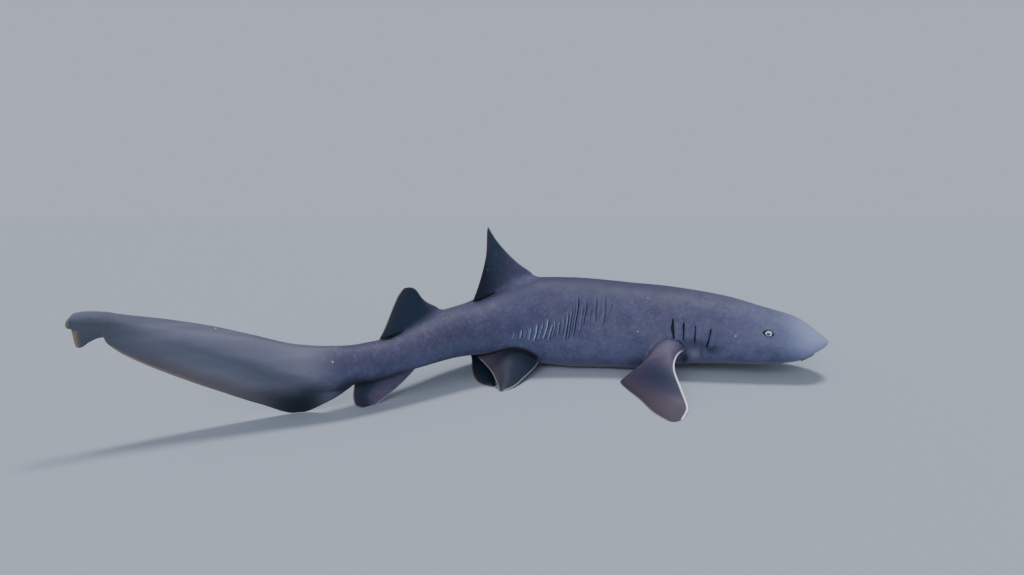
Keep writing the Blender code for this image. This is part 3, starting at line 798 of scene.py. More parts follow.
# %% Loft a fin
TIP_ROUND = 0.05     # share of the span over which the tip is rounded off
TIP_ROWS = 8
FIN_RING = 52        # points round a fin's section
ROOT_FADE = 1.6      # how soon a fin thins out from its root: more is sooner
FLARE_REACH = 0.24   # share of the span over which an upright fin's root is thickened
EDGE_STEPS = 120     # steps in which a fin's front and rear edge are kept


def flare(fin, u, v):
    """How many times thicker an upright fin is near its root, in front of flare_end."""
    end = fin.get("flare_end", 1)
    return 1 + fin.get("flare", 0) * math.exp(-(v / FLARE_REACH) ** 2) * (
        1 - float(ramp(u, end - 0.35, end)))


def fin_rings(fin, point, normal, rows):
    """Rings of points in metres, from the root to the rounded tip."""
    shares = [(1 - TIP_ROUND) * k / rows for k in range(rows)]
    shares += [1 - TIP_ROUND + TIP_ROUND * math.sin(math.pi / 2 * k / TIP_ROWS)
               for k in range(TIP_ROWS + 1)]
    rings = []
    for v in shares:
        drawn_in = math.sqrt(max(1 - (max(v - 1 + TIP_ROUND, 0) / TIP_ROUND) ** 2, 0.0004))
        thinning = (1 - v) ** fin.get("fade", ROOT_FADE)
        ring = []
        for k in range(FIN_RING):
            angle = 2 * math.pi * k / FIN_RING
            u = 0.5 - 0.5 * math.cos(angle) * drawn_in
            edge = EDGE * abs(math.sin(angle)) ** 0.5
            core = (fin["thickness"] * LENGTH - EDGE) * foil(u)
            thick = edge + core * flare(fin, u, v) * thinning * min(1, edge / EDGE)
            offset = normal(u, v) * (math.copysign(thick, math.sin(angle)) / 2)
            at = point(u, v) + offset
            at.z = max(at.z, 0.0 if offset.z <= 0 else edge)
            ring.append(at)
        rings.append(ring)
    return rings


def mesh_from(name, bm, smooth=False):
    """Mesh of a bmesh, which is then freed."""
    for face in bm.faces:
        face.smooth = smooth
    mesh = bpy.data.meshes.new(name)
    bm.to_mesh(mesh)
    bm.free()
    return mesh


FINS = [  # name, outline, side (0 on the midline), rows, fillet radius at the root in metres
    ("first_dorsal_fin", FIRST_DORSAL, 0, 44, 0.030),
    ("second_dorsal_fin", SECOND_DORSAL, 0, 34, 0.024),
    ("anal_fin", ANAL, 0, 28, 0.014),
    ("pectoral_fin_right", PECTORAL, 1, 56, 0.009),
    ("pectoral_fin_left", PECTORAL_LEFT, -1, 56, 0.009),
    ("pelvic_fin_right", PELVIC, 1, 34, 0.007),
    ("pelvic_fin_left", PELVIC_LEFT, -1, 30, 0.006),
]
fin_meshes, fin_edges = [], []
for number, (name, fin, side, rows, _) in enumerate(FINS, 1):
    point, normal = paired_blade(fin, side) if side else upright_blade(fin)
    bm = loft(fin_rings(fin, point, normal, rows), to_frame=lambda x, y, z: Vector((x, y, z)))
    for face in bm.faces:
        face.material_index = number
    fin_meshes.append(mesh_from(name, bm))
    shares = [k / EDGE_STEPS for k in range(EDGE_STEPS + 1)]
    fin_edges.append([[(point(u, v), v) for v in shares] for u in (0, 1)])   # front, rear
print("fins:", {m.name: len(m.polygons) for m in fin_meshes})

# %% [markdown]
# ## One skin
# Body and fins could stay separate pieces, but a seam would show where they meet. So they are
# joined by one Boolean union, and the animal is a single closed surface. The union leaves a hard
# crease at the root of each fin. Real skin flows over it, so the points near each crease are
# smoothed in rounds that draw closer and closer, which leaves a fillet. A Bevel modifier would
# need a clean row of faces along the crease, which a union doesn't leave.

# %% Union
def new_object(name, data):
    """Object in the scene that holds a mesh, a light or a camera."""
    made = bpy.data.objects.new(name, data)
    bpy.context.scene.collection.objects.link(made)
    return made


body_mesh = mesh_from("nurse_shark_skin", body)
every_fin = bmesh.new()
for mesh in fin_meshes:
    every_fin.from_mesh(mesh)
    bpy.data.meshes.remove(mesh)
fins_mesh = mesh_from("fins", every_fin)
# A material for each piece, for a while, so that the faces still tell their piece when joined.
piece_marks = [bpy.data.materials.new("piece_%d" % k) for k in range(len(FINS) + 1)]
for mark in piece_marks:
    body_mesh.materials.append(mark)
    fins_mesh.materials.append(mark)
skin = new_object("nurse_shark_skin", body_mesh)
fins = new_object("fins", fins_mesh)
union = skin.modifiers.new("union", "BOOLEAN")
union.operation = "UNION"
union.solver = "MANIFOLD"
union.object = fins
joined = bpy.data.meshes.new_from_object(skin.evaluated_get(bpy.context.evaluated_depsgraph_get()))
skin.modifiers.clear()
skin.data = joined
bpy.data.objects.remove(fins)
for mesh in (body_mesh, fins_mesh):
    bpy.data.meshes.remove(mesh)
joined.name = "nurse_shark_skin"
print("union:", len(joined.vertices), "points,", len(joined.polygons), "faces")

# %% Find the creases
FREE_CORNER = 0.035   # length before a fin's free rear corner over which its fillet shrinks

bm = bmesh.new()
bm.from_mesh(joined)
seams = []            # crease points, and the number of the fin that each belongs to
for vert in bm.verts:
    numbers = {f.material_index for f in vert.link_faces}
    if len(numbers) > 1:
        seams.append((vert.co.copy(), max(numbers)))
seam_tree = tree_of([at for at, _ in seams])
seam_s, _ = body_places(np.array([at for at, _ in seams]))


def fillet_radius(k):
    """Radius of the fillet at a point of the crease: small where a fin's rear corner comes free."""
    _, fin, side, _, radius = FINS[seams[k][1] - 1]
    if side == 0:
        radius *= 1 - 0.85 * float(
            ramp(seam_s[k], fin["insertion"] - FREE_CORNER, fin["insertion"]))
    return radius


near = []             # point, its distance from the crease as a share of the radius, the radius
for vert in bm.verts:
    _, k, distance = seam_tree.find(vert.co)
    radius = fillet_radius(k)
    if distance < radius:
        near.append((vert, distance / radius, radius))
print("creases:", len(seams), "points,", len(near), "points to smooth")

# %% Fillets
FILLET_ROUNDS = ((1.0, 3), (0.8, 4), (0.6, 5), (0.4, 8), (0.25, 8))   # share of the radius, rounds
WIDE_FILLETS = (0.012, 0.020)   # wider ones than each of these get twice as many rounds on top

for reach, rounds in FILLET_ROUNDS:
    for widest in (0.0, *WIDE_FILLETS):
        chosen = [vert for vert, share, radius in near if share < reach and radius > widest]
        for _ in range(rounds if widest == 0 else rounds * 2):
            bmesh.ops.smooth_vert(bm, verts=chosen, factor=0.5, use_axis_x=True, use_axis_y=True,
                                  use_axis_z=True)
for vert in bm.verts:
    vert.co = [min(max(x, low), high) for x, low, high in zip(vert.co, *CAD_BOX)]
bmesh.ops.triangulate(bm, faces=bm.faces)
twins = {}
for face in bm.faces:    # slivers of the union: two faces on the same three points
    twins.setdefault(frozenset(face.verts), []).append(face)
slivers = [face for pair in twins.values() if len(pair) > 1 for face in pair]
bmesh.ops.delete(bm, geom=slivers, context="FACES")
print("removed", len(slivers), "slivers, open edges:", sum(not e.is_manifold for e in bm.edges))

# %% Back to a mesh
fin_of_vert = np.array([max(f.material_index for f in v.link_faces) for v in bm.verts])
for face in bm.faces:
    face.material_index = 0
    face.smooth = True
bm.to_mesh(joined)
bm.free()
joined.materials.clear()
for mark in piece_marks:
    bpy.data.materials.remove(mark)
print("skin:", len(joined.polygons), "triangles")

# %% [markdown]
# ## What the finish reads
# The colours of a shark follow its body: paler below, browner and thinner toward the rear edges of
# the fins. Light and shade are painted over them as well: a white highlight along the fins' front
# edges and on raised edges, shade in the slits, creases and hollows and where the body meets the
# floor. They could be painted on an image, but the skin would have to be unwrapped, and each edge
# would be only as sharp as the image. Here these facts are kept on the mesh as attributes, one
# number from 0 to 1 for each point, so that the finish stays with the skin. Most are products of
# ramps and bells: ramp(x, a, b) grows from 0 at a to 1 at b, and bell(x - m, w) is 1 at m and fades
# over the width w.

# %% Read the skin
def read(items, name, width, kind=np.float64):
    """One property of all points or edges of a mesh, as an array."""
    values = np.empty(len(items) * width, kind)
    items.foreach_get(name, values)
    return values.reshape(-1, width)


count = len(joined.vertices)
co = read(joined.vertices, "co", 3)
normals = read(joined.vertices, "normal", 3)
edges = read(joined.edges, "vertices", 2, np.int32)
valence = np.maximum(np.bincount(edges.ravel(), minlength=count), 1)
s, lat = body_places(co)
z = co[:, 2] / LENGTH
on_body = fin_of_vert == 0


def softened(values, rounds):
    """The values averaged with those of their neighbours, some rounds over."""
    for _ in range(rounds):
        total = (np.bincount(edges[:, 0], values[edges[:, 1]], count)
                 + np.bincount(edges[:, 1], values[edges[:, 0]], count))
        values = (values + total / valence) / 2
    return values


def table_at(table, column):
    """A column of a table of stations, at every point of the skin."""
    return np.array([hermite(table, column, at) for at in s])


print("skin:", count, "points,", int(on_body.sum()), "on the body")

# %% What the fins are like
FIN_TONES = {  # dark, warm, weights of height and chord, where the tone starts and is full, strength of the painted white highlight on the front edge, width of the pale rear rim in metres
               # strength of the white front rim, width of the pale rear rim in metres
    "first_dorsal_fin": (0.68, 0.00, 1.0, 0.55, 0.12, 0.60, 0.25, 0.0035),
    "second_dorsal_fin": (1.00, 0.00, 1.0, 0.50, 0.10, 0.50, 0.12, 0.0035),
    "anal_fin": (0.90, 0.00, -0.25, 1.60, -0.45, 0.00, 0.30, 0.0035),
    "pectoral_fin_right": (0.00, 0.60, 1.0, 0.00, 0.10, 0.40, 1.0, 0.0035),
    "pectoral_fin_left": (0.00, 0.60, 1.0, 0.00, 0.10, 0.40, 1.0, 0.0035),
    "pelvic_fin_right": (0.75, 0.70, 1.0, 0.00, 0.02, 0.16, 0.42, 0.0035),
    "pelvic_fin_left": (0.95, 0.20, 1.0, 0.00, 0.02, 0.16, 0.40, 0.0070),
}
LEAD_WIDTH = 0.0060   # width of the painted white highlight on the front edge, metres
TRAIL_WIDTH = 0.030   # width of the thin rear edge


def nearest_on(edge, points):
    """Distance of each point from a fin's edge, and its place along it from root to tip."""
    tree = tree_of([at for at, _ in edge])
    found = [tree.find(at) for at in points]
    return np.array([gap for _, _, gap in found]), np.array([edge[k][1] for _, k, _ in found])


dark, warm, front_rim_highlight, trail, rear_rim, band, tip, fin_shade, front = (np.zeros(count) for _ in range(9))
for number, (name, _, _, _, _) in enumerate(FINS, 1):
    dark_level, warm_level, by_height, by_chord, start, full, rim, rear_width = FIN_TONES[name]
    here = fin_of_vert == number
    front_edge, rear_edge = fin_edges[number - 1]
    to_front, v0 = nearest_on(front_edge, co[here])
    to_rear, v1 = nearest_on(rear_edge, co[here])
    u = to_front / (to_front + to_rear + 1e-9)
    height = v0 * (1 - u) + v1 * u
    share = ramp(by_height * height + by_chord * (u - 0.5), start, full)
    dark[here], warm[here] = dark_level * share, warm_level * share
    front_rim_highlight[here] = rim * ramp(v0, 0.03, 0.18) * (1 - ramp(to_front, LEAD_WIDTH * 0.4, LEAD_WIDTH))
    trail[here] = share * (1 - ramp(to_rear, 0, TRAIL_WIDTH))
    rear_rim[here] = ramp(v1, 0.05, 0.2) * (1 - ramp(to_rear, 0.001, rear_width))
    if "pectoral" in name:        # painted highlight near the root, a band of painted shade, a brown tip
        front[here] = 0.85 * bell(height - 0.18, 0.16) * ramp(u, 0.03, 0.25)
        band[here] = bell(height - 0.56, 0.15) * (1 - ramp(u, 0.50, 0.95))
        tip[here] = ramp(height + 0.35 * (u - 0.5), 0.45, 0.85)
    elif name == "pelvic_fin_right":   # a painted highlight streak, painted shade over the rest of the fin, brown behind
        lit_streak = bell(height - 0.13, 0.045) * bell(u - 0.47, 0.12)
        front[here] = lit_streak
        fin_shade[here] = (0.35 + 0.50 * bell(u - 0.60, 0.20)) * (1 - lit_streak)
        tip[here] = 0.9 * ramp(u, 0.30, 0.85)
    elif name == "anal_fin":           # painted highlight in front, painted shade behind
        front[here], fin_shade[here] = 0.50 * (1 - share), 0.40 * share
    elif name == "first_dorsal_fin":   # painted shade at the rear of its root
        fin_shade[here] = ramp(u, 0.45, 0.90) * (1 - ramp(height, 0.30, 0.80))
dark, warm = softened(dark, 10), softened(warm, 10)
band, tip, front = (softened(values, 30) for values in (band, tip, front))

# %% Slits and hollows
# Each crease is painted shade where a fin meets the body; the last row paints it on the tail's side
# above the anal fin.
CREASES = (  # fin, first s, last s and lowest z of its dark crease,
             # distances in metres of full darkness and of none, strength
    ("pectoral", 0.0, 0.216, 0.036, 0.0022, 0.0060, 1.0),
    ("pelvic", 0.465, 1.0, 0.0, 0.0050, 0.0180, 0.85),
    ("anal", 0.672, 1.0, 0.0, 0.0040, 0.0240, 0.60),
    ("anal", 0.690, 1.0, 0.0, 0.0250, 0.0800, 0.66 * on_body),   # on the tail's side alone
)

mark_tree = tree_of([mark[0] for mark in MARKS])
# Each point of the body takes the painted shade and highlights of its nearest mark; the last value is
# the painted highlight on the throat's lump.
recess_shade, shade, lit_edge, pale = (np.zeros(count) for _ in range(4))
for k in np.nonzero(on_body)[0]:
    _, nearest, _ = mark_tree.find(co[k])
    recess_shade[k], shade[k], lit_edge[k], pale[k] = MARKS[nearest][1:]
shade = np.maximum(softened(shade, 2), 0.9 * softened(fin_shade, 6))
for part, first, last, lowest, full, none, level in CREASES:
    crease_tree = tree_of([at for k, (at, number) in enumerate(seams)
                           if part in FINS[number - 1][0] and at.z > lowest * LENGTH
                           and first < seam_s[k] < last])
    to_crease = np.array([crease_tree.find(at)[2] for at in co])
    recess_shade = np.maximum(recess_shade, (1 - ramp(to_crease, full, none)) * level)

# Painted shade in the gap under the free rear corner of each dorsal fin.
back = table_at(BODY, 3)
for fin in (FIRST_DORSAL, SECOND_DORSAL):
    start, end = fin["insertion"] - 0.010, fin["trailing"][0][0]
    taper = ramp(s, start, start + 0.020) * (1 - ramp(s, end - 0.008, end))
    narrow = 1 - ramp(np.abs(lat) * LENGTH, 0.003 + 0.005 * taper, 0.006 + 0.007 * taper)
    level = 1 - ramp(np.abs(z - back - 0.0005) * LENGTH, 0.0030, 0.0055)
    recess_shade = np.maximum(recess_shade, 0.95 * ramp(taper, 0.05, 0.6) * narrow * level)

# %% Tones of the tail fin
TAIL_TIP = place(1.003, 0, 0.1262)
TOE_S = 0.792         # middle of the lower corner that rests on the floor

tail = ramp(s, 0.74, 0.80)
in_tail = tail * on_body
over_edge = (z - table_at(TAIL_FIN, 2)) * LENGTH   # height over the lower edge, metres
core_middle, core_height = table_at(TAIL_FIN, 3), table_at(TAIL_FIN, 4)
to_tip = np.array([(Vector(at) - TAIL_TIP).length for at in co])
tail_low = in_tail * (1 - ramp(over_edge, 0.004, 0.085)) * (1 - ramp(s, 0.93, 0.965))
tail_band = in_tail * (1 - ramp(s, 0.90, 0.97)) * bell(
    (z - core_middle + core_height * 1.25 + 0.009) * LENGTH, 0.038)
# painted shade on the lower corner that rests on the floor
tail_toe_shade = in_tail * (1 - ramp(over_edge, 0.030, 0.115)) * bell((s - TOE_S) * LENGTH, 0.115)
tail_rim = np.maximum.reduce([   # the lower edge before the notch, the tip, the end lobe's rear
    (1 - ramp(over_edge, 0.001, 0.0110)) * ramp(s, 0.84, 0.93) * (1 - ramp(s, 0.966, 0.972)),
    1 - ramp(to_tip, 0.002, 0.0105),
    ramp(s, 0.9920, 0.9985) * (1 - ramp(z, 0.1180, 0.1225))]) * in_tail
tail_end = in_tail * ramp(s, 0.900, 0.985) * (
    1 - 0.75 * ramp((z - core_middle) * LENGTH, -0.005, 0.020))

# %% Tones of the body
bottom = table_at(BODY, 2)
share_up = (z - bottom) / np.maximum(back - bottom, 0.01)   # 0 at the underside, 1 at the back
under = ramp(-normals[:, 2], 0.60, 0.92) * on_body * (1 - ramp(s, 0.56, 0.64))
under = np.maximum(softened(under, 4), 0.7 * ramp(-normals[:, 2], 0.3, 0.8) * ~on_body)
snout = 0.72 * (1 - ramp(s, 0.002, 0.085))
snout += 0.28 * (1 - ramp(s, 0.080, 0.210)) * ramp(share_up, 0.20, 0.55)
snout *= on_body
flank = (1 - ramp(share_up, 0.30, 0.72)) * on_body * (1 - tail)
crest = ramp(share_up, 0.76, 0.97) * on_body
crest *= ramp(s, 0.15, 0.27) * (1 - ramp(s, 0.48, 0.58))
hem_and_highlight = bell((z - bottom) * LENGTH - 0.013, 0.007) * on_body * (1 - ramp(s, 0.19, 0.21))
hem_and_highlight *= ramp(s, 0.03, 0.07)
# The pale hem also takes the painted highlight on the throat's lump and the painted highlights on the
# fins.
hem_and_highlight = np.maximum.reduce([hem_and_highlight, 0.8 * softened(pale, 4), front])
# Painted contact shadow low on the body, where the chest and belly lie on the floor.
contact_shadow = (1 - ramp(co[:, 2], 0.001, 0.018)) * on_body * ramp(s, 0.23, 0.30)
shade = np.maximum(shade, 0.7 * contact_shadow * (1 - ramp(s, 0.50, 0.56)))

# %% Keep them on the mesh
ATTRIBUTES = dict(recess_shade=recess_shade, shade=shade, lit_edge=lit_edge, dark=dark, warm=warm, front_rim_highlight=front_rim_highlight, trail=trail,
                  rear_rim=rear_rim, tail=tail, tail_low=tail_low, tail_band=tail_band,
                  tail_toe_shade=tail_toe_shade, tail_rim=tail_rim, tail_end=tail_end, under=under,
                  snout=snout, crest=crest, flank=flank, hem_and_highlight=hem_and_highlight, band=band, tip=tip)
for name, values in ATTRIBUTES.items():
    attribute = joined.attributes.new(name, "FLOAT", "POINT")
    attribute.data.foreach_set("value", values.astype(np.float32))
flow = joined.attributes.new("flow", "FLOAT_VECTOR", "POINT")   # body coordinates in metres
flow_values = np.stack([s, lat, z], axis=1) * LENGTH
flow.data.foreach_set("vector", flow_values.astype(np.float32).ravel())
print("attributes:", ", ".join(ATTRIBUTES), "and flow")

# %% [markdown]
# ## Eyes
# A nurse shark's eye is small, with a silvery iris and a small dark pupil. The ball is a UV sphere
# whose pole is the middle of the pupil, so that every ring of the iris is a ring of its mesh. An
# icosphere has no such rings, and the pupil's edge would be ragged. Its front is raised a little
# into a cornea. The angle from the pole is kept as an attribute, which draws pupil, iris and white.

# %% Eyeballs
GAZE_BACK = 0.10     # how far the gaze turns back from straight sideways, radians
GAZE_UP = 0.12       # how far it rises, radians
CORNEA = 0.05        # rise of the cornea, as a share of the radius
EYE_FIT = 0.985      # the ball's radius as a share of its socket's
IRIS_FIBRES = 22     # waves round the iris


def make_eye(name, side):
    bm = bmesh.new()
    gaze = bm.verts.layers.float.new("gaze")
    spin = bm.verts.layers.float.new("spin")
    bmesh.ops.create_uvsphere(bm, u_segments=64, v_segments=48, radius=EYE_RADIUS * EYE_FIT)
    for vert in bm.verts:
        vert[gaze] = vert.co.normalized().angle(Vector((0, 0, 1)))
        vert[spin] = math.sin(math.atan2(vert.co.y, vert.co.x) * IRIS_FIBRES)
        vert.co *= 1 + CORNEA * (1 - float(ramp(vert[gaze], 0.1, 0.8)))
        vert.co *= (1 - CORNEA * 0.9)
    tail_ward = (place(EYE_S + 0.01, 0, 0) - place(EYE_S, 0, 0)).normalized()
    outward = (place(EYE_S, side, 0) - place(EYE_S, 0, 0)).normalized()
    look = (outward * math.cos(GAZE_BACK) + tail_ward * math.sin(GAZE_BACK)) * math.cos(GAZE_UP)
    look += Vector((0, 0, math.sin(GAZE_UP)))
    bmesh.ops.rotate(bm, verts=bm.verts, cent=(0, 0, 0),
                     matrix=look.to_track_quat("Z", "Y").to_matrix())
    bmesh.ops.translate(bm, verts=bm.verts, vec=eye_centre(side))
    return new_object(name, mesh_from(name, bm, smooth=True))


eyes = [make_eye("eyeball_right", 1), make_eye("eyeball_left", -1)]
print("eyes", [len(eye.data.polygons) for eye in eyes], "faces")

# %% [markdown]
# ## Barbels
# Two fleshy feelers hang in front of the mouth, one from each nostril. A curve with a round bevel
# would be as thick at its end as at its root, unless each point got its own radius. The loft is at
# hand, so each feeler is a loft along a short curve, thick at the root, and its tip is closed by a
# few shrinking rings.

# %% Barbels
BARBEL = ((0.021, 0.021, 0.0385), (0.025, 0.0235, 0.0320), (0.0320, 0.0255, 0.0272),
          (0.0400, 0.0265, 0.0222))
BARBEL_RADII = (0.0024, 0.0008)   # at the root and at the tip, as shares of the length
BARBEL_ROWS = 40
BARBEL_RING = 20


def make_barbel(name, side):
    rings = []
    for k in range(BARBEL_ROWS):
        t = k / (BARBEL_ROWS - 1)
        middle = along(BARBEL, t)
        ahead = along(BARBEL, min(t + 0.02, 1)) - along(BARBEL, max(t - 0.02, 0))
        radius = BARBEL_RADII[0] * (1 - t) + BARBEL_RADII[1] * t
        radius *= math.sqrt(1 - float(ramp(t, 0.90, 1.0)) * 0.96)   # rounds off the tip
        across = ahead.cross(Vector((0, 1, 0))).normalized()
        over = ahead.cross(across).normalized()
        ring = []
        for j in range(BARBEL_RING):
            angle = 2 * math.pi * j / BARBEL_RING
            at = middle + radius * (math.cos(angle) * across + math.sin(angle) * over)
            ring.append((at.x, side * at.y, at.z))
        rings.append(ring)
    return new_object(name, mesh_from(name, loft(rings), smooth=True))


barbels = [make_barbel("feeler_right", 1), make_barbel("feeler_left", -1)]
print("barbels", [len(barbel.data.polygons) for barbel in barbels], "faces")

# %% [markdown]
# ## Finishes
# Shark skin is matt: it is covered with denticles, teeth about a millimetre across that scatter
# the light. Its slate colour varies softly in patches, with small dark spots and grains of sand.
# A painted image would need an unwrapped skin and have a fixed sharpness. So the skin is coated in
# layers: each coat mixes one more colour over the last, where a noise or an attribute of the mesh
# says so. Some coats are painted light and shade: highlights on edges and fins, shade in slits,
# creases and hollows. One function adds a node with its settings and links, and one turns sRGB hex
# into linear colour.

# %% Node and colour helpers
def colour(hex_code):
    """Linear RGBA from an sRGB hex code such as #4f556f."""
    parts = [int(hex_code[i:i + 2], 16) / 255 for i in (1, 3, 5)]
    return (*[c / 12.92 if c <= 0.04045 else ((c + 0.055) / 1.055) ** 2.4 for c in parts], 1)


def add(tree, kind, sockets=(), **settings):
    """Adds a node; sockets maps inputs to values or to the outputs that feed them."""
    made = tree.nodes.new(kind)
    for name, value in settings.items():
        setattr(made, name, value)
    for socket, value in dict(sockets).items():
        if isinstance(value, bpy.types.NodeSocket):
            tree.links.new(value, made.inputs[socket])
        else:
            made.inputs[socket].default_value = value
    return made


def new_material(name):
    """Material with an empty node tree, and that tree."""
    made = bpy.data.materials.new(name)
    made.use_nodes = True
    made.node_tree.nodes.clear()
    return made, made.node_tree


# %% The skin's coats
NOISES = (  # name, scale, detail; a noise of scale 1 has lumps about a metre wide
    ("patches", 7.0, 3.0),      # 15 cm wide
    ("mottle", 26.0, 5.0),      # 4 cm
    ("blots", 80.0, 3.0),       # 12 mm
    ("grain", 240.0, 3.0),      # 4 mm
    ("denticles", 330.0, 2.0),  # too fine to show, so they are drawn about 3 mm wide
)
SPECKS = (("sand", 13.0), ("moles", 19.0))   # some 8 and 5 cm apart
SPECK_SIZE = 0.030              # radius of a speck as a share of their spacing
COATS = (  # what the coat follows, where it starts and is full, strength, colour
    ("patches", 0.40, 0.62, 1.0, "#494153"),    # broad purple patches
    ("flank", 0.0, 1.0, 0.85, "#464e68"),       # bluer low on the sides
    ("mottle", 0.36, 0.68, 0.9, "#393c56"),     # darker mottling
    ("blots", 0.48, 0.70, 0.50, "#5b5873"),     # paler blots in it
    ("grain", 0.30, 0.80, 0.30, "#626380"),     # dusty grain
    ("crest", 0.0, 1.0, 0.75, "#333551"),       # dark ridge of the back
    ("snout", 0.0, 1.0, 0.85, "#949dbe"),       # pale snout and brow
    ("under", 0.0, 1.0, 0.9, "#77717f"),        # pale underside
    ("hem_and_highlight", 0.0, 1.0, 0.60, "#7d7280"),         # pale hem of the throat, and painted highlights on the fins and the throat's lump
    ("warm", 0.0, 1.0, 1.0, "#4a4050"),         # browner paired fins
    ("dark", 0.0, 1.0, 1.0, "#223041"),         # dark upright fins
    ("band", 0.0, 1.0, 0.85, "#1c2740"),        # painted shade across the middle of a pectoral fin
    ("tip", 0.0, 1.0, 0.80, "#4c3f4b"),         # brown tips
    ("trail", 0.0, 1.0, 0.55, "#403a37"),       # thin brown rear edges
    ("tail", 0.0, 1.0, 0.80, "#737482"),        # greyer tail fin
    ("streaks", 0.40, 0.70, 0.4, "#83838f"),    # pale streaks along it
    ("tail_low", 0.0, 1.0, 0.75, "#4f4a4b"),    # brown toward its lower edge
    ("tail_band", 0.0, 1.0, 0.55, "#3a4652"),   # dim band under its core
    ("tail_toe_shade", 0.0, 1.0, 0.95, "#0f1c27"),    # painted shade, nearly black, on the lower corner
    ("tail_end", 0.0, 1.0, 0.75, "#2e3940"),    # dark end lobe
    ("tail_rim", 0.0, 1.0, 0.80, "#8c7557"),    # sandy rims
    ("rear_rim", 0.0, 1.0, 0.75, "#a09490"),    # pale rear rims of the fins
    ("front_rim_highlight", 0.0, 1.0, 1.0, "#f8f6fb"),         # painted white highlight along the fins' front edges
    ("sand", 0.0, 1.0, 0.65, "#b9bcc9"),        # grains of sand
    ("moles", 0.0, 1.0, 0.5, "#2a2e3d"),        # small dark spots
    ("lit_edge", 0.0, 1.0, 0.85, "#93a0c0"),         # painted highlight on the raised edges beside slits and folds
    ("shade", 0.0, 1.0, 0.85, "#151d2a"),       # painted shade in hollows, on fins and low on the body
    ("recess_shade", 0.0, 1.0, 1.0, "#07090f"),          # painted shade inside slits, creases and gaps
)


# %% Shark skin
def shark_skin():
    """Living placoid skin: matt and dusty, slate above and paler below."""
    made, tree = new_material("living_shark_skin")
    spot = add(tree, "ShaderNodeTexCoord").outputs["Object"]
    flow = add(tree, "ShaderNodeAttribute", attribute_name="flow").outputs["Vector"]
    follow = {name: add(tree, "ShaderNodeAttribute", attribute_name=name).outputs["Fac"]
              for name in ATTRIBUTES}
    for name, scale, detail in NOISES:
        follow[name] = add(tree, "ShaderNodeTexNoise", {"Vector": spot, "Scale": scale,
                                                        "Detail": detail}).outputs["Fac"]
    # Streaks that run along the tail fin, 25 mm apart.
    stretched = add(tree, "ShaderNodeMapping", {"Vector": flow, "Scale": (2.0, 40.0, 40.0)})
    streaks = add(tree, "ShaderNodeTexNoise", {"Vector": stretched.outputs[0], "Scale": 1.0,
                                               "Detail": 4.0})
    follow["streaks"] = add(tree, "ShaderNodeMath", {0: streaks.outputs["Fac"], 1: follow["tail"]},
                            operation="MULTIPLY").outputs[0]
    for name, scale in SPECKS:
        cells = add(tree, "ShaderNodeTexVoronoi", {"Vector": spot, "Scale": scale,
                                                   "Randomness": 1.0})
        follow[name] = add(tree, "ShaderNodeMath", {0: cells.outputs["Distance"], 1: SPECK_SIZE},
                           operation="LESS_THAN").outputs[0]

    tone = colour("#48475f")     # slate, under all the coats
    for name, start, full, strength, code in COATS:
        share = add(tree, "ShaderNodeMapRange", {
            "Value": follow[name], "From Min": start, "From Max": full, "To Max": strength},
            interpolation_type="SMOOTHSTEP").outputs["Result"]
        tone = add(tree, "ShaderNodeMix", {0: share, 6: tone, 7: colour(code)},
                   data_type="RGBA").outputs[2]

    bump = add(tree, "ShaderNodeBump", {"Height": follow["denticles"], "Strength": 0.25,
                                        "Distance": 0.0012})
    rough = add(tree, "ShaderNodeMapRange", {"Value": follow["mottle"], "To Min": 0.50,
                                             "To Max": 0.66}).outputs["Result"]
    shader = add(tree, "ShaderNodeBsdfPrincipled", {
        "Base Color": tone, "Roughness": rough, "IOR": 1.42, "Specular IOR Level": 0.35,
        "Normal": bump.outputs[0]})
    add(tree, "ShaderNodeOutputMaterial", {"Surface": shader.outputs[0]})
    return made

# %% Eye and barbel
IRIS = (  # angle from the middle of the pupil in radians, colour
    (0.0, "#05070a"), (0.28, "#05070a"),                     # pupil
    (0.34, "#6f8396"), (0.42, "#d6e4f4"), (0.58, "#c3d3e6"),  # silvery iris
    (0.78, "#8fa2b6"), (0.88, "#1b2129"), (1.0, "#14181f"),  # its dark outer ring
)
FIBRE_WAVE = 0.035   # how far the iris's fibres move its rings in and out, radians


def wet_eye():
    """Living eye: wet and clear, with a sharp highlight over a silvery iris."""
    made, tree = new_material("wet_silvery_eye")
    gaze = add(tree, "ShaderNodeAttribute", attribute_name="gaze").outputs["Fac"]
    spin = add(tree, "ShaderNodeAttribute", attribute_name="spin").outputs["Fac"]
    ring = add(tree, "ShaderNodeMath", {0: spin, 1: FIBRE_WAVE, 2: gaze},
               operation="MULTIPLY_ADD")
    iris = add(tree, "ShaderNodeValToRGB", {"Fac": ring.outputs[0]})
    iris.color_ramp.elements.remove(iris.color_ramp.elements[1])
    for k, (at, code) in enumerate(IRIS):
        stop = iris.color_ramp.elements[0] if k == 0 else iris.color_ramp.elements.new(at)
        stop.position = at
        stop.color = colour(code)
    shader = add(tree, "ShaderNodeBsdfPrincipled", {
        "Base Color": iris.outputs[0], "Roughness": 0.12, "IOR": 1.38, "Coat Weight": 1.0,
        "Coat Roughness": 0.03})
    add(tree, "ShaderNodeOutputMaterial", {"Surface": shader.outputs[0]})
    return made


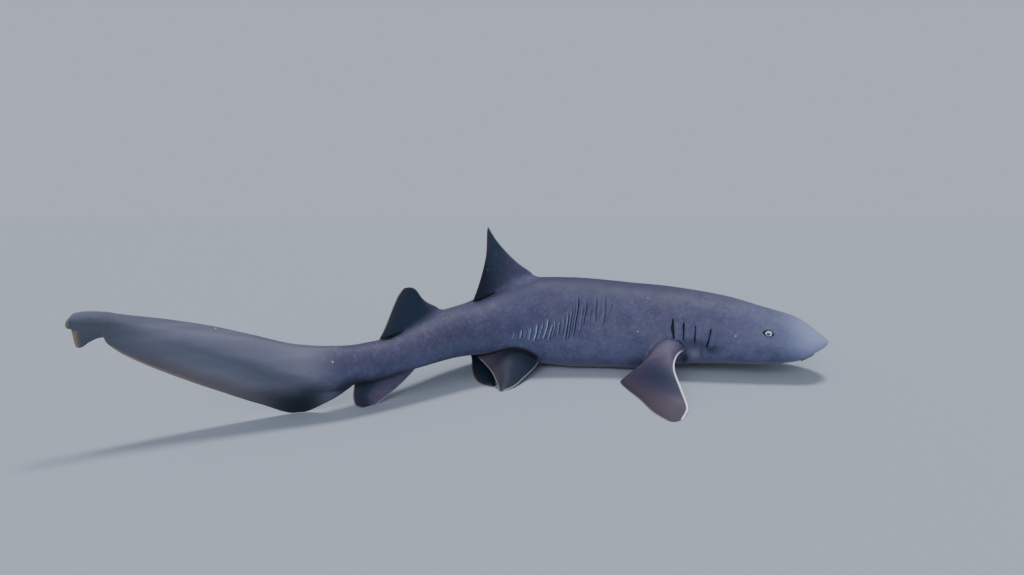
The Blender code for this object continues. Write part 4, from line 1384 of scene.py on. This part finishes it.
def barbel_skin():
    """Soft bare skin of a feeler: smoother than the denticles, with a faint sheen."""
    made, tree = new_material("smooth_barbel_skin")
    spot = add(tree, "ShaderNodeTexCoord").outputs["Object"]
    mottle = add(tree, "ShaderNodeTexNoise", {"Vector": spot, "Scale": 120.0,   # 8 mm
                                              "Detail": 3.0})
    tone = add(tree, "ShaderNodeMix", {0: mottle.outputs["Fac"], 6: colour("#45455a"),
                                       7: colour("#5f5d70")}, data_type="RGBA")
    bump = add(tree, "ShaderNodeBump", {"Height": mottle.outputs["Fac"], "Strength": 0.2,
                                        "Distance": 0.0008})
    shader = add(tree, "ShaderNodeBsdfPrincipled", {
        "Base Color": tone.outputs[2], "Roughness": 0.45, "IOR": 1.42,
        "Normal": bump.outputs[0]})
    add(tree, "ShaderNodeOutputMaterial", {"Surface": shader.outputs[0]})
    return made


skin.data.materials.append(shark_skin())
eye_finish, barbel_finish = wet_eye(), barbel_skin()
for eye, barbel in zip(eyes, barbels):
    eye.data.materials.append(eye_finish)
    barbel.data.materials.append(barbel_finish)
print("finishes:", sorted(m.name for m in bpy.data.materials if m.users))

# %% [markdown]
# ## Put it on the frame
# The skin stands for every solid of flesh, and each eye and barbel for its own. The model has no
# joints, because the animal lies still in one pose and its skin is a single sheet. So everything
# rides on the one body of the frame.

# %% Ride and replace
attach(skin, "root")
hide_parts("head", "trunk", "tail", "caudal_fin", *[fin[0] for fin in FINS])
for eye, barbel, side in zip(eyes, barbels, ("right", "left")):
    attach(eye, "root")
    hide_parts("eye_" + side)
    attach(barbel, "root")
    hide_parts("barbel_" + side)
print("replaced", len(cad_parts), "solids by", 1 + len(eyes) + len(barbels), "pieces")

# %% [markdown]
# ## Stage, light and camera
# A pale matt floor and two very wide suns, which light the whole floor alike, where an area lamp
# would leave a pool of light. One stands high, as the light from the surface does, and draws the
# shadow under the body. The other comes from the side that the camera sees. It is wider and a
# little stronger, because it has to light the animal's upright flank. The camera is low and wide,
# half a metre over the floor.

# %% Floor
FLOOR_TONE = "#a9b0b9"
FLOOR_SIZE = 60        # half its width, metres: its edge is lost at the horizon
FLOOR_DROP = 0.0005    # how far it lies under the animal, so that the two don't flicker


def make_floor():
    bm = bmesh.new()
    bmesh.ops.create_grid(bm, x_segments=1, y_segments=1, size=FLOOR_SIZE)
    bmesh.ops.translate(bm, verts=bm.verts, vec=(0, 0, -FLOOR_DROP))
    made, tree = new_material("matt_pale_floor")
    shader = add(tree, "ShaderNodeBsdfPrincipled", {"Base Color": colour(FLOOR_TONE),
                                                    "Roughness": 0.9})
    add(tree, "ShaderNodeOutputMaterial", {"Surface": shader.outputs[0]})
    mesh = mesh_from("floor", bm)
    mesh.materials.append(made)
    return new_object("floor", mesh)


floor = make_floor()

# %% Lights
LIGHTS = (  # name, where it comes from, strength, width in degrees, tint
    ("overhead", (0.20, 0.30, 1.0), 2.0, 14, "#f6f8ff"),
    ("front_fill", (-0.3, -1.0, 0.35), 2.7, 50, "#ebeffd"),
)
GLOW = ("#c6d0dd", 0.50)       # light from all round: tint, strength
BACKDROP = ("#a4adba", 1.24)   # what the camera sees beyond the floor, near the floor's own tone

for name, source, strength, width, tint in LIGHTS:
    sun = bpy.data.lights.new(name, "SUN")
    sun.energy = strength
    sun.angle = math.radians(width)
    sun.color = colour(tint)[:3]
    lamp = new_object(name, sun)
    lamp.rotation_euler = (-Vector(source)).to_track_quat("-Z", "Y").to_euler()

world = bpy.data.worlds.new("soft_surround")
world.use_nodes = True
world.node_tree.nodes.clear()
glow, seen = (add(world.node_tree, "ShaderNodeBackground", {"Color": colour(tint),
                                                            "Strength": strength})
              for tint, strength in (GLOW, BACKDROP))
to_camera = add(world.node_tree, "ShaderNodeLightPath").outputs["Is Camera Ray"]
both = add(world.node_tree, "ShaderNodeMixShader", {0: to_camera, 1: glow.outputs[0],
                                                    2: seen.outputs[0]})
add(world.node_tree, "ShaderNodeOutputWorld", {"Surface": both.outputs[0]})
bpy.context.scene.world = world
print("lights:", ", ".join(name for name, *_ in LIGHTS))

# %% Camera
CAMERA_AT = Vector((-0.0325, -1.7072, 0.5157))
CAMERA_DOWN = 8.11   # degrees below the horizon
SENSOR = 36          # width of the sensor, millimetres
LENS = 18.65         # focal length, millimetres

lens = bpy.data.cameras.new("camera")
lens.sensor_width = SENSOR
lens.lens = LENS
camera = new_object("camera", lens)
camera.location = CAMERA_AT
camera.rotation_euler = (math.radians(90 - CAMERA_DOWN), 0, 0)
bpy.context.scene.camera = camera
print("camera", [round(v, 3) for v in CAMERA_AT], "lens", LENS)
